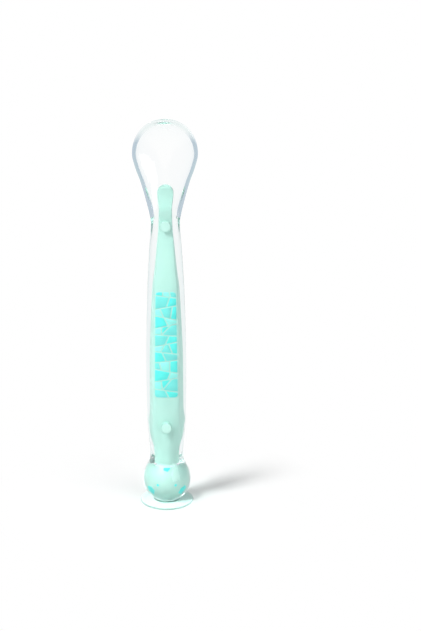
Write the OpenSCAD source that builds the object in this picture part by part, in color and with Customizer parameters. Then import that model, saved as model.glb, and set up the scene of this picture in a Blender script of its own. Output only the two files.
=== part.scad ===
// Baby spoon: a rigid core with a printed mosaic, moulded into one clear silicone
// jacket that is also the bowl, and standing on a shallow suction foot.
// Millimetres, +Z up along the handle, origin at the centre of the foot's rim.
// The bowl opens towards -Y, and the print is on the same side.

/* [Overall] */
// Height from the foot's rim to the tip of the bowl
overall_h = 158; // [150:1:168]

/* [Bowl] */
// Width of the bowl at its widest
bowl_w = 25; // [22:0.5:28]
// From the tip of the bowl down to its widest place
tip_len = 13.6; // [11:0.2:16]
// From the tip of the bowl down to the neck
bowl_len = 41; // [37:0.5:46]
// From the tip of the bowl down to the end of the hollow
hollow_len = 38.4; // [34:0.4:40]
// Length over which the hollow runs out into the neck
throat_len = 9; // [6:0.5:12]
// From the plane of the rim to the back of the bowl
bowl_t = 7.2; // [6.4:0.1:8]
// Thickness of the wall at the bowl's sides
side_wall = 1.5; // [1:0.1:2]
// Thickness of the wall at the bowl's tip
tip_wall = 2.2; // [1.4:0.1:3]
// Thickness of the bowl's floor
floor_wall = 1.6; // [1.2:0.1:2]
// How far the rounded lip stands in front of the plane of the rim
lip_h = 0.9; // [0.5:0.1:1.4]
// How far the plane of the rim lies in front of the handle's axis
rim_forward = 2.6; // [1.6:0.1:3.2]
// Radius that softens the inner edge of the rim
lip_blend = 0.7; // [0.3:0.1:1.2]

/* [Sleeve] */
// Width of the neck
neck_w = 11.1; // [9.5:0.1:13]
// Thickness of the neck
neck_t = 6.4; // [5.8:0.1:8]
// Height of the widest part of the grip
grip_z = 58; // [50:1:70]
// Width of the grip
grip_w = 15.6; // [14:0.1:18]
// Thickness of the grip
grip_t = 12; // [11:0.1:14]
// Height of the waist above the ball
waist_z = 20.5; // [19:0.5:24]
// Width of the waist
waist_w = 13.2; // [12:0.1:15]
// Thickness of the waist
waist_t = 11.8; // [11:0.1:14]

/* [Ball] */
// Diameter of the clear ball
ball_d = 18.8; // [17:0.1:20]
// Size of the fillet between the ball and the waist
ball_blend = 2.7; // [1:0.1:3.5]

/* [Foot] */
// Diameter of the suction foot
foot_d = 20.8; // [19:0.1:24]
// Height of the seat that the ball is bonded to
foot_h = 1.7; // [1.5:0.1:2.4]
// Diameter of that seat
seat_d = 10.4; // [9:0.1:12]
// Diameter of the collar where it meets the disc
collar_d = 12.2; // [11.4:0.1:14]
// Height of the disc's upper side at the collar
collar_z = 1.2; // [0.9:0.05:1.4]
// Thickness of the disc at its edge
edge_t = 0.7; // [0.5:0.05:0.8]
// Width of the flat ring that the foot rests on
rest_w = 1.2; // [0.8:0.1:2]
// Height of the suction hollow at its middle
suction_h = 0.8; // [0.4:0.05:0.9]

/* [Core] */
// Silicone beside the core at the neck
neck_side = 2.95; // [2.6:0.05:3.6]
// Silicone beside the core at the grip
grip_side = 2.6; // [2:0.1:3]
// Silicone beside the core at the print's upper edge
print_side = 2.4; // [2:0.1:3]
// Height of the core's lower shoulder
shoulder_z = 30; // [28:0.5:34]
// Silicone beside the core at that shoulder
shoulder_side = 2.25; // [1.6:0.05:2.8]
// Silicone beside the core at the waist
waist_side = 3; // [2.8:0.1:4]
// Silicone in front of the core at the neck
neck_cover = 1.5; // [1:0.1:2]
// Silicone in front of the core at the grip
grip_cover = 2.9; // [2:0.1:3.6]
// Silicone in front of the core at the waist
waist_cover = 3.2; // [2.4:0.1:3.8]
// Diameter of the core's ball
core_ball_d = 12.9; // [11:0.1:13.4]
// Size of the fillet between the core's ball and its shank
core_blend = 1.6; // [0.6:0.1:2.4]
// Width of the rounded paddle in the root of the bowl
paddle_w = 6.6; // [5.8:0.1:7.6]
// Length of the paddle's round end
paddle_end = 3.2; // [2.8:0.1:4.4]
// From the tip of the bowl down to the end of the paddle
paddle_drop = 27.3; // [25:0.1:29]
// Silicone over both faces of the paddle
paddle_cover = 0.7; // [0.5:0.05:0.8]

/* [Studs] */
// Diameter of the studs that hold the core in its mould
stud_d = 4.1; // [3:0.1:4.4]
// How far a stud stands out of the silicone
stud_proud = 0.12; // [0.05:0.01:0.3]
// From the tip of the bowl down to the upper stud
upper_stud_drop = 42.5; // [41.5:0.5:46]
// Height of the lower stud
lower_stud_z = 33; // [31:0.2:35]

/* [Print] */
// Width of the printed mosaic at its lower edge
print_w = 9; // [7.6:0.1:9.2]
// Width of the mosaic at its upper edge
print_top_w = 8.2; // [6.8:0.1:8.4]
// From the tip of the bowl down to the mosaic's upper edge
print_drop = 68.8; // [66.8:0.2:74.8]
// Height of the mosaic's lower edge
print_z = 45.2; // [43:0.2:48]
// Rounding of the mosaic's four outer corners
print_round = 1; // [0.3:0.1:1]
// Gap between two tiles
tile_gap = 0.5; // [0.25:0.05:0.6]
// Thickness of the ink
ink_t = 0.12; // [0.08:0.01:0.2]
// Size of the chips printed on the core's ball
chip_d = 4; // [2.4:0.1:4.4]

/* [Hidden] */

// Colours as the photograph shows them
clear_colour = [0.86, 0.93, 0.95, 0.45];
core_colour = [0.74, 0.94, 0.89];
shade_colours = [[0.33, 0.95, 0.91], [0.45, 0.90, 0.88], [0.60, 0.96, 0.93]];

// Points round a ring, and rings along each stretch
skin_sides = 48;
core_sides = 28;
ball_rings = 13;
handle_rings = 24;
throat_rings = 9;
bowl_rings = 10;
core_rings = 20;
paddle_rings = 6;
tip_rings = 8;
lip_rings = 5;
// How far a cut runs into what it cuts
overrun = 0.3;

// Heights and half sizes that follow from the sizes above
neck_z = overall_h - bowl_len;
widest_z = overall_h - tip_len;
hollow_z = overall_h - hollow_len;
ball_r = ball_d / 2;
seat_r = seat_d / 2;
ball_z = foot_h + sqrt(ball_r ^ 2 - seat_r ^ 2);
core_ball_r = core_ball_d / 2;
land_y = grip_t / 2 - grip_cover;
paddle_tip_z = overall_h - paddle_drop;
paddle_z = paddle_tip_z - paddle_end;
upper_stud_z = overall_h - upper_stud_drop;
print_h = overall_h - print_drop - print_z;
// The rim's lip starts this share of its height in front of the rim's plane
lip_start_share = 0.5;
// The bowl's outline is a little fuller than an ellipse, by this power
tip_power = 2.12;
// The sleeve's section is an ellipse at the ball and the bowl, and squarer between, by this power
sleeve_power = 3;
// It is an ellipse again at this share of the way from the neck to the bowl's widest place
opening_share = 0.65;
// The hollow starts this share of its throat's length below the neck
throat_low_share = 0.25;
// The rings of the ball carry on by this angle past the waist's width
past_waist_angle = 5.4;

// How the outlines run between their named places, as shares of the way and of the change
waist_to_grip_shares = [[0, 0], [0.27, 0.54], [0.62, 0.9], [1, 1]];
grip_to_neck_shares = [[0, 0], [0.5, 0.27], [0.8, 0.68], [1, 1]];
neck_to_bowl_shares = [[0, 0], [0.12, 0.07], [0.33, 0.26], [0.6, 0.55], [0.82, 0.85], [1, 1]];
rim_shares = [[0, 0], [0.25, 0.24], [0.5, 0.7], [0.75, 0.95], [1, 1]];
shoulder_shares = [[0, 0], [0.25, 0.13], [0.41, 0.28], [0.57, 0.58], [0.74, 0.88], [1, 1]];
grip_wall_shares = [[0, 0], [0.4, 0.75], [1, 1]];
neck_wall_shares = [[0, 0], [0.32, 0.55], [1, 1]];

// Smooth choice of the larger of two numbers, rounded over a width of k
function smooth_max(a, b, k) =
    let (near = max(k - abs(a - b), 0) / k)
    max(a, b) + near * near * k / 4;

// The same for the smaller one
function smooth_min(a, b, k) = -smooth_max(-a, -b, k);

// Square root that goes on below zero with its sign
function signed_root(q) = q < 0 ? -sqrt(-q) : sqrt(q);

// Eases from 0 to 1
function ease(t) = let (u = min(max(t, 0), 1)) u * u * (3 - 2 * u);

function mix(a, b, t) = a + (b - a) * t;

// Stations between two places from a table of shares
function stations(z0, v0, z1, v1, shares) =
    [for (s = shares) [mix(z0, z1, s[0]), mix(v0, v1, s[1])]];

// A smooth curve through a table of [height, value] that never overshoots
function rise(t, i) = (t[i + 1][1] - t[i][1]) / (t[i + 1][0] - t[i][0]);
function slope(t, i) =
    i == 0 || i == len(t) - 1 || rise(t, i - 1) * rise(t, i) <= 0
    ? 0
    : 2 * rise(t, i - 1) * rise(t, i) / (rise(t, i - 1) + rise(t, i));
function span_of(t, z, i = 0) = i >= len(t) - 2 || z < t[i + 1][0] ? i : span_of(t, z, i + 1);
function hermite(a, b, sa, sb, u) =
    a * (1 + 2 * u) * (1 - u) ^ 2 + sa * u * (1 - u) ^ 2
    + b * u ^ 2 * (3 - 2 * u) + sb * u ^ 2 * (u - 1);
function curve(t, z) =
    z <= t[0][0] ? t[0][1]
    : z >= t[len(t) - 1][0] ? t[len(t) - 1][1]
    : let (i = span_of(t, z), h = t[i + 1][0] - t[i][0])
      hermite(t[i][1], t[i + 1][1], slope(t, i) * h, slope(t, i + 1) * h, (z - t[i][0]) / h);

// Joins two tables that share one station
function join(a, b) = concat(a, [for (i = [1:len(b) - 1]) b[i]]);

// Half of the jacket's width, and where its front and its back lie
width_table = join(
    join(
        stations(waist_z, waist_w / 2, grip_z, grip_w / 2, waist_to_grip_shares),
        stations(grip_z, grip_w / 2, neck_z, neck_w / 2, grip_to_neck_shares)
    ),
    stations(neck_z, neck_w / 2, widest_z, bowl_w / 2, neck_to_bowl_shares)
);
front_table = [
    [waist_z, waist_t / 2], [grip_z, grip_t / 2],
    [neck_z, neck_t / 2], [widest_z, rim_forward + lip_h]
];
back_table = [
    [waist_z, waist_t / 2], [grip_z, grip_t / 2],
    [neck_z, neck_t / 2], [widest_z, bowl_t - rim_forward]
];
rim_table = stations(print_z + print_h, 0, widest_z, -rim_forward, rim_shares);

// How far a height lies along the round of the tip, from 0 to 1
function tip_share(z) = min(max((z - widest_z) / tip_len, 0), 1);
function tip_round(z) = (1 - tip_share(z) ^ tip_power) ^ (1 / tip_power);

// Radius of a ball at a height, or zero past it
function ball_at(z, r) = sqrt(max(r ^ 2 - (z - ball_z) ^ 2, 0));
function on_ball(value, z, r, k) = z <= ball_z ? ball_at(z, r) : smooth_max(value, ball_at(z, r), k);

function half_width(z) = on_ball(curve(width_table, z), z, ball_r, ball_blend) * tip_round(z);
function rim_y(z) = curve(rim_table, z);
function front_depth(z) = (on_ball(curve(front_table, z), z, ball_r, ball_blend) + rim_y(z)) * tip_round(z);
function back_depth(z) = (on_ball(curve(back_table, z), z, ball_r, ball_blend) - rim_y(z)) * tip_round(z);

// The hollow of the bowl: round towards the tip, and a long ramp towards the neck
lip_start = lip_h * lip_start_share;
hollow_t = bowl_t + lip_start - floor_wall;
function ramp(z) = let (s = (widest_z - z) / (widest_z - hollow_z)) 1 - s * s;
function hollow_round(x, z) =
    let (
        across = x / (z > widest_z ? bowl_w / 2 - side_wall : half_width(z) - side_wall),
        along = z > widest_z ? (z - widest_z) / (tip_len - tip_wall) : 0
    )
    1 - across ^ 2 - along ^ 2;
function hollow_depth(x, z) =
    let (q = hollow_round(x, z), g = z > widest_z ? 1 : ramp(z))
    g > 0 && q > 0 ? g * sqrt(q) : min(g, 0) + min(signed_root(q), 0);
function hollow_y(x, z) = rim_y(z) - lip_start + hollow_t * hollow_depth(x, z);

// Front of the jacket at a place across it: its round front, less the hollow, which
// fades away over the throat
throat_z = neck_z - throat_len * throat_low_share;
throat_top_z = throat_z + throat_len;
function throat(z) = ease((z - throat_z) / throat_len);
function front_y(x, z, facing) =
    let (round_y = rim_y(z) - front_depth(z) * facing)
    round_y + throat(z) * smooth_max(hollow_y(x, z) - round_y, 0, lip_blend);

// Half of the width between the inner edges of the rim, as a share of the half width.
// Points on the front crowd onto the rim there, and elsewhere lie as on the back.
rim_side_share = 0.91;
rim_least_share = 0.3;
function inner_share(z) =
    z > widest_z
    ? (bowl_w / 2 - side_wall) * sqrt(max(1 - ((z - widest_z) / (tip_len - tip_wall)) ^ 2, 0))
      / half_width(z)
    : (half_width(z) - side_wall) / half_width(z);
function rim_share(z) =
    mix(rim_side_share, max(min(inner_share(z), rim_side_share), rim_least_share),
        ease((z - grip_z) / (neck_z - grip_z)));
function squareness(z) = ease((z - waist_z) / (print_z - stud_d - waist_z));
function opening(z) = ease((z - neck_z) / (widest_z - neck_z) / opening_share);
function skin_power(z) = mix(2, sleeve_power, squareness(z) * (1 - opening(z)));
function facing(s, z) = let (p = skin_power(z)) max(1 - abs(s) ^ p, 0) ^ (1 / p);
function front_across(z, s) =
    let (rim = rim_share(z), low = abs(s) / rim_side_share)
    sign(s) * (low < 1 ? rim * low : mix(rim, 1, (abs(s) - rim_side_share) / (1 - rim_side_share)));
function skin_point(z, a) =
    cos(a) > 0
    ? let (s = front_across(z, sin(a)), x = half_width(z) * s)
      [x, front_y(x, z, facing(s, z)), z]
    : [half_width(z) * sin(a), rim_y(z) + back_depth(z) * facing(sin(a), z), z];

// Half of the core's width, how thick it is and how square its section is
wall_table = join(
    join(
        stations(waist_z, waist_side, shoulder_z, shoulder_side, shoulder_shares),
        stations(shoulder_z, shoulder_side, grip_z, grip_side, grip_wall_shares)
    ),
    concat(
        [[grip_z, grip_side]],
        stations(print_z + print_h, print_side, neck_z, neck_side, neck_wall_shares)
    )
);
core_depth_table = [
    [waist_z, waist_t / 2 - waist_cover], [print_z - stud_d, land_y],
    [print_z + print_h + stud_d, land_y], [neck_z, neck_t / 2 - neck_cover]
];
// The paddle widens over the upper part of its length, past this share
paddle_root_share = 0.4;
paddle_table = [
    [neck_z, neck_w / 2 - neck_side],
    [mix(neck_z, paddle_z, paddle_root_share), neck_w / 2 - neck_side],
    [paddle_z, paddle_w / 2]
];
// Corners of the core's section: its sides bulge by this share before a face cuts them flat,
// and the corner is softened by this one. The front has the print's land, and the back is rounder.
front_corner_shares = [2.6, 0.2];
back_corner_shares = [1, 0.3];
// The paddle keeps its thickness almost to its end, by this power
paddle_power = 5;

function paddle_share(z) = min(max((z - paddle_z) / paddle_end, 0), 1);
function shank_half(z) = curve(width_table, z) - curve(wall_table, z);
function core_half(z) =
    z <= neck_z
    ? on_ball(shank_half(z), z, core_ball_r, core_blend)
    : curve(paddle_table, z) * sqrt(1 - paddle_share(z) ^ 2);
function core_depth(z) = on_ball(curve(core_depth_table, z), z, core_ball_r, core_blend);
function into_paddle(z) = ease((z - neck_z) / (paddle_z - neck_z));
function core_front(z) = mix(-core_depth(z), front_y(0, z, 1) + paddle_cover, into_paddle(z));
function core_back(z) = mix(core_depth(z), rim_y(z) + back_depth(z) - paddle_cover, into_paddle(z));
function core_middle(z) = (core_front(z) + core_back(z)) / 2;
function core_thick(z) = (core_back(z) - core_front(z)) / 2 * (1 - paddle_share(z) ^ paddle_power);
function section(facing, square, corner) =
    mix(facing, smooth_min(corner[0] * facing, 1, corner[1]), square);
function core_point(z, a) =
    let (
        side = cos(a) > 0 ? -1 : 1,
        corner = side < 0 ? front_corner_shares : back_corner_shares
    )
    [
        core_half(z) * sin(a),
        core_middle(z) + side * core_thick(z) * section(abs(cos(a)), squareness(z), corner),
        z
    ];

// Heights of the rings: close together where the ball and the tip are round
function ball_heights(r, low, high, n) =
    [for (i = [0:n]) ball_z - r * cos(mix(low, high, i / n))];
function even_heights(z0, z1, n) = [for (i = [1:n]) mix(z0, z1, i / n)];
function round_heights(z0, z1, n) = [for (i = [1:n - 1]) mix(z0, z1, sin(90 * i / n))];

seat_angle = asin(seat_r / ball_r);
ball_top_angle = 180 - asin((waist_w / 2) / ball_r) + past_waist_angle;
ball_top_z = ball_z - ball_r * cos(ball_top_angle);
skin_heights = concat(
    ball_heights(ball_r, seat_angle, ball_top_angle, ball_rings),
    even_heights(ball_top_z, throat_z, handle_rings),
    even_heights(throat_z, throat_top_z, throat_rings),
    even_heights(throat_top_z, widest_z, bowl_rings),
    round_heights(widest_z, overall_h - tip_wall, tip_rings),
    [overall_h - tip_wall],
    round_heights(overall_h - tip_wall, overall_h, lip_rings)
);
shank_angle = 180 - asin((waist_w / 2 - waist_side) / core_ball_r);
shank_z = ball_z - core_ball_r * cos(shank_angle) + core_blend;
core_heights = concat(
    [for (i = [1:ball_rings - 1]) ball_z - core_ball_r * cos(shank_angle * i / (ball_rings - 1))],
    [shank_z],
    even_heights(shank_z, neck_z, core_rings),
    even_heights(neck_z, paddle_z, paddle_rings),
    round_heights(paddle_z, paddle_tip_z, tip_rings)
);

// A closed skin over rings of points, from a flat end or a point to a point
module loft(rings, low_point, high_point) {
    sides = len(rings[0]);
    last = len(rings) - 1;
    low = len(rings) * sides;
    high = is_undef(low_point) ? low : low + 1;
    points = concat(
        [for (ring = rings) each ring],
        is_undef(low_point) ? [] : [low_point],
        [high_point]
    );
    walls = [
        for (i = [0:last - 1], k = [0:sides - 1])
            let (
                next = (k + 1) % sides,
                a = i * sides + k, b = i * sides + next,
                c = a + sides, d = b + sides
            )
            each (k < sides / 2 ? [[a, c, d], [a, d, b]] : [[a, c, b], [b, c, d]])
    ];
    low_end = is_undef(low_point)
        ? [[for (k = [0:sides - 1]) k]]
        : [for (k = [0:sides - 1]) [k, (k + 1) % sides, low]];
    high_end = [
        for (k = [0:sides - 1])
            [last * sides + (k + 1) % sides, last * sides + k, high]
    ];
    polyhedron(points, concat(walls, low_end, high_end), convexity = 8);
}

// The jacket's outside, as if nothing were inside it
module jacket_skin() {
    loft(
        [for (z = skin_heights) [for (k = [0:skin_sides - 1]) skin_point(z, 360 * k / skin_sides)]],
        undef,
        [0, rim_y(overall_h), overall_h]
    );
}

// The core without its studs
module core_body() {
    loft(
        [for (z = core_heights) [for (k = [0:core_sides - 1]) core_point(z, 360 * k / core_sides)]],
        [0, 0, ball_z - core_ball_r],
        [0, core_middle(paddle_tip_z), paddle_tip_z]
    );
}

// One stud goes right through the core and shows on both faces of the silicone
module stud(z) {
    front = front_y(0, z, 1) - stud_proud;
    back = rim_y(z) + back_depth(z) + stud_proud;
    translate([0, back, z])
        rotate([90, 0, 0])
            cylinder(h = back - front, d = stud_d, $fn = 40);
}

module studs() {
    stud(upper_stud_z);
    stud(lower_stud_z);
}

// The mosaic: bands between slanting lines, each split by steeper lines.
// A line is its height at the left and at the right, as shares of the print's height.
band_shares = [
    [0, 0], [0.085, 0.055], [0.155, 0.19], [0.275, 0.235], [0.335, 0.36], [0.44, 0.415],
    [0.485, 0.53], [0.6, 0.585], [0.655, 0.7], [0.775, 0.735], [0.835, 0.87], [0.965, 0.94], [1, 1]
];
// A split is its place on the lower and on the upper line, as shares of the width.
split_shares = [
    [[0.62, 0.45]],
    [[0.34, 0.28], [0.34, 0.74]],
    [[0.56, 0.7]],
    [[0.3, 0.2], [0.66, 0.66]],
    [[0.5, 0.32]],
    [[0.24, 0.44], [0.78, 0.62]],
    [[0.46, 0.64]],
    [[0.3, 0.3], [0.3, 0.72]],
    [[0.6, 0.42]],
    [[0.4, 0.22], [0.7, 0.8]],
    [[0.52, 0.68]],
    [[0.36, 0.36], [0.72, 0.66]]
];
// The ink of each band's tiles, from the left: b is bright, m medium and p pale
tile_inks = ["mb", "pbm", "bp", "mpb", "bm", "pmb", "mb", "pbm", "bp", "pmb", "mb", "bpm"];

// The print stays on the flat of the core, which is this share of its width
land_share = 0.9;
function print_point(across, line) =
    let (
        up = mix(line[0], line[1], across),
        z = print_z + print_h * up,
        w = min(mix(print_w, print_top_w, up), 2 * land_share * core_half(z))
    )
    [w * (across - 1 / 2), z];
function tile_corners(band, t) =
    let (
        edges = concat([[0, 0]], split_shares[band], [[1, 1]]),
        low = band_shares[band], high = band_shares[band + 1],
        left = edges[t], right = edges[t + 1],
        base = left[0] == right[0]
            ? [print_point(left[0], low)]
            : [print_point(left[0], low), print_point(right[0], low)],
        top = left[1] == right[1]
            ? [print_point(left[1], high)]
            : [print_point(right[1], high), print_point(left[1], high)]
    )
    concat(base, top);

// Draws a convex outline in by a distance, each corner along its own bisector
function inward(a, b) = let (d = (b - a) / norm(b - a)) [-d[1], d[0]];
function drawn_in(p, by) =
    [
        for (i = [0:len(p) - 1])
            let (
                before = inward(p[(i + len(p) - 1) % len(p)], p[i]),
                after = inward(p[i], p[(i + 1) % len(p)])
            )
            p[i] + by * (before + after) / (1 + before * after)
    ];

// The mosaic's own four corners are rounded, in two short sides each
print_corners = [for (line = [[0, 0], [1, 1]], across = [0, 1]) print_point(across, line)];
corner_mid_share = 0.3;
function is_outer(p) = min([for (corner = print_corners) norm(p - corner)]) < ink_t;
function toward(a, b) = (b - a) / norm(b - a);
function tile_outline(p) =
    let (q = drawn_in(p, tile_gap / 2))
    [
        for (i = [0:len(q) - 1])
            let (
                back = toward(q[i], q[(i + len(q) - 1) % len(q)]) * print_round,
                ahead = toward(q[i], q[(i + 1) % len(q)]) * print_round
            )
            each is_outer(p[i])
                ? [q[i] + back, q[i] + corner_mid_share * (back + ahead), q[i] + ahead]
                : [q[i]]
    ];

module tile(band, t, into) {
    translate([0, into - land_y, 0])
        rotate([90, 0, 0])
            linear_extrude(ink_t + into)
                polygon(tile_outline(tile_corners(band, t)));
}

module print_layer(ink, into = 0) {
    for (band = [0:len(tile_inks) - 1], t = [0:len(tile_inks[band]) - 1])
        if (tile_inks[band][t] == ink)
            tile(band, t, into);
}

// Chips of the same ink on the core's ball: round from the front, up from the middle
chip_angles = [[0, 54], [-63, -30], [63, -30], [-29, -4], [29, -4]];
chip_size_shares = [0.72, 1, 1, 0.3, 0.3];
chip_corner_shares = [[0.9, 0.1], [0.35, 0.85], [-0.7, 0.6], [-0.8, -0.45], [0.2, -0.9]];

module chip(angles, size_share, into) {
    intersection() {
        difference() {
            sphere(r = core_ball_r + ink_t, $fn = 96);
            sphere(r = core_ball_r - into, $fn = 96);
        }
        rotate([90 - angles[1], 0, angles[0]])
            linear_extrude(ball_d)
                polygon(chip_corner_shares * (size_share * chip_d / 2));
    }
}

module chips(into = 0) {
    translate([0, 0, ball_z])
        for (i = [0:len(chip_angles) - 1])
            chip(chip_angles[i], chip_size_shares[i], into);
}

module core_insert() {
    color(core_colour)
        union() {
            core_body();
            studs();
        }
}

module silicone_jacket() {
    color(clear_colour)
        difference() {
            jacket_skin();
            core_body();
            studs();
            for (ink = ["b", "m", "p"])
                print_layer(ink, overrun);
            chips(overrun);
        }
}

module suction_foot() {
    foot_r = foot_d / 2;
    rest_r = foot_r - rest_w;
    hollow_r = (rest_r ^ 2 + suction_h ^ 2) / (2 * suction_h);
    hollow_angle = asin(rest_r / hollow_r);
    collar_r = collar_d / 2;
    edge_r = edge_t / 2;
    hollow = [
        for (i = [0:8])
            let (a = hollow_angle * (1 - i / 8))
            [hollow_r * sin(a), suction_h - hollow_r * (1 - cos(a))]
    ];
    collar = [
        for (i = [0:6])
            let (a = 90 * i / 6)
            [mix(collar_r, seat_r, cos(a)), mix(foot_h, collar_z, sin(a))]
    ];
    edge = [
        for (i = [0:8])
            let (a = 90 - 180 * i / 8)
            [foot_r - edge_r + edge_r * cos(a), edge_r + edge_r * sin(a)]
    ];
    color(clear_colour)
        rotate_extrude($fn = 96)
            polygon(concat(hollow, [[0, foot_h]], collar, edge));
}

module print_bright() {
    color(shade_colours[0]) print_layer("b");
}

module print_medium() {
    color(shade_colours[1]) print_layer("m");
}

module print_pale() {
    color(shade_colours[2]) print_layer("p");
}

module ball_chips() {
    color(shade_colours[0]) chips();
}

silicone_jacket();
suction_foot();
core_insert();
print_bright();
print_medium();
print_pale();
ball_chips();
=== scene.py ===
"""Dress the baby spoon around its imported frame.

The spoon is one clear silicone moulding, bowl and sleeve together, over a rigid core with a
printed mosaic, and it stands on a shallow suction foot. Sizes are kept in millimetres and
turned into metres where a mesh is made, because the frame is in metres.
"""

from __future__ import annotations

import logging
import math
from dataclasses import dataclass
from enum import Enum
from typing import Callable, Iterable, Sequence

import bmesh
import bpy
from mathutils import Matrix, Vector

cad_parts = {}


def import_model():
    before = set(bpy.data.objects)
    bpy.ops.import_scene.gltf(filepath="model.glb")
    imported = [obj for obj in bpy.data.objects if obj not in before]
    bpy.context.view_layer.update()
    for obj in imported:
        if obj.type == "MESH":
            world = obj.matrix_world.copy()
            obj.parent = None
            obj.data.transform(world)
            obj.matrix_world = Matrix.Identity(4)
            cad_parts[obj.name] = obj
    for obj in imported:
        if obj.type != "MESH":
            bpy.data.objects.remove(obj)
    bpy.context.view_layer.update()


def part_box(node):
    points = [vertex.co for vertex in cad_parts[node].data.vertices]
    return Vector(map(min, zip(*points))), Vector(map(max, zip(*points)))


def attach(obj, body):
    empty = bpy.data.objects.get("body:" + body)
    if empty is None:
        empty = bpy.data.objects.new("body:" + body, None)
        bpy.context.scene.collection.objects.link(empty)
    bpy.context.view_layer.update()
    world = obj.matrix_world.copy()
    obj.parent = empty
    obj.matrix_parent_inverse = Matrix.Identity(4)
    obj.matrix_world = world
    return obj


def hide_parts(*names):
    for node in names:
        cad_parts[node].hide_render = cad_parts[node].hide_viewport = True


LOG = logging.getLogger("baby_spoon")

MM = 0.001

# Two places that lie nearer than this, in millimetres, are one place.
NEAR = 0.001
# An edge that turns by more than this, in degrees, stays sharp in the shading.
SHARP_ANGLE = 40.0
WHITE = (1.0, 1.0, 1.0, 1.0)

Table = Sequence[tuple[float, float]]
Colour = tuple[float, float, float]


def mix(low: float, high: float, share: float) -> float:
    """Return the value that lies at a share of the way from low to high."""
    return low + (high - low) * share


def ease(share: float) -> float:
    """Return a share that starts and ends gently, held between 0 and 1."""
    held = min(max(share, 0.0), 1.0)
    return held * held * (3 - 2 * held)


def smooth_max(a: float, b: float, width: float) -> float:
    """Return the larger of two numbers, rounded where they meet.

    Args:
        a: One number.
        b: The other number.
        width: Distance between them within which the choice is rounded.

    Returns:
        The larger number, or a little more than it near the meeting.
    """
    near = max(width - abs(a - b), 0.0) / width
    return max(a, b) + near * near * width / 4


def smooth_min(a: float, b: float, width: float) -> float:
    """Return the smaller of two numbers, rounded where they meet."""
    return -smooth_max(-a, -b, width)


def signed_root(value: float) -> float:
    """Return the square root of a number's size, with the number's sign."""
    return math.copysign(math.sqrt(abs(value)), value)


def stations(
    start: tuple[float, float], end: tuple[float, float], shares: Table
) -> list[tuple[float, float]]:
    """Return stations between two places from a table of shares.

    Args:
        start: Height and value of the first place.
        end: Height and value of the last place.
        shares: Shares of the way and of the change, in order.

    Returns:
        A table of heights and values.
    """
    return [(mix(start[0], end[0], way), mix(start[1], end[1], change)) for way, change in shares]


@dataclass(frozen=True)
class Curve:
    """A smooth line through a table of heights and values, which never overshoots.

    Attributes:
        table: Heights and values, from the lowest up.
    """

    table: Table

    def _rise(self, i: int) -> float:
        """Return how steep the line is between two stations."""
        (z0, v0), (z1, v1) = self.table[i], self.table[i + 1]
        return (v1 - v0) / (z1 - z0)

    def _slope(self, i: int) -> float:
        """Return how steep the line is at a station.

        Args:
            i: The station's number.

        Returns:
            The slope: level at the line's ends and at its turns.
        """
        if i in (0, len(self.table) - 1):
            return 0.0
        before, after = self._rise(i - 1), self._rise(i)
        return 2 * before * after / (before + after) if before * after > 0 else 0.0

    def at(self, z: float) -> float:
        """Return the line's value at a height.

        Args:
            z: The height.

        Returns:
            The value there, or that of the nearest end.
        """
        if z <= self.table[0][0]:
            return self.table[0][1]
        if z >= self.table[-1][0]:
            return self.table[-1][1]
        i = max(k for k, (height, _) in enumerate(self.table) if height <= z)
        (z0, v0), (z1, v1) = self.table[i], self.table[i + 1]
        run = z1 - z0
        u = (z - z0) / run
        return (
            v0 * (1 + 2 * u) * (1 - u) ** 2
            + self._slope(i) * run * u * (1 - u) ** 2
            + v1 * u * u * (3 - 2 * u)
            + self._slope(i + 1) * run * u * u * (u - 1)
        )


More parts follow.
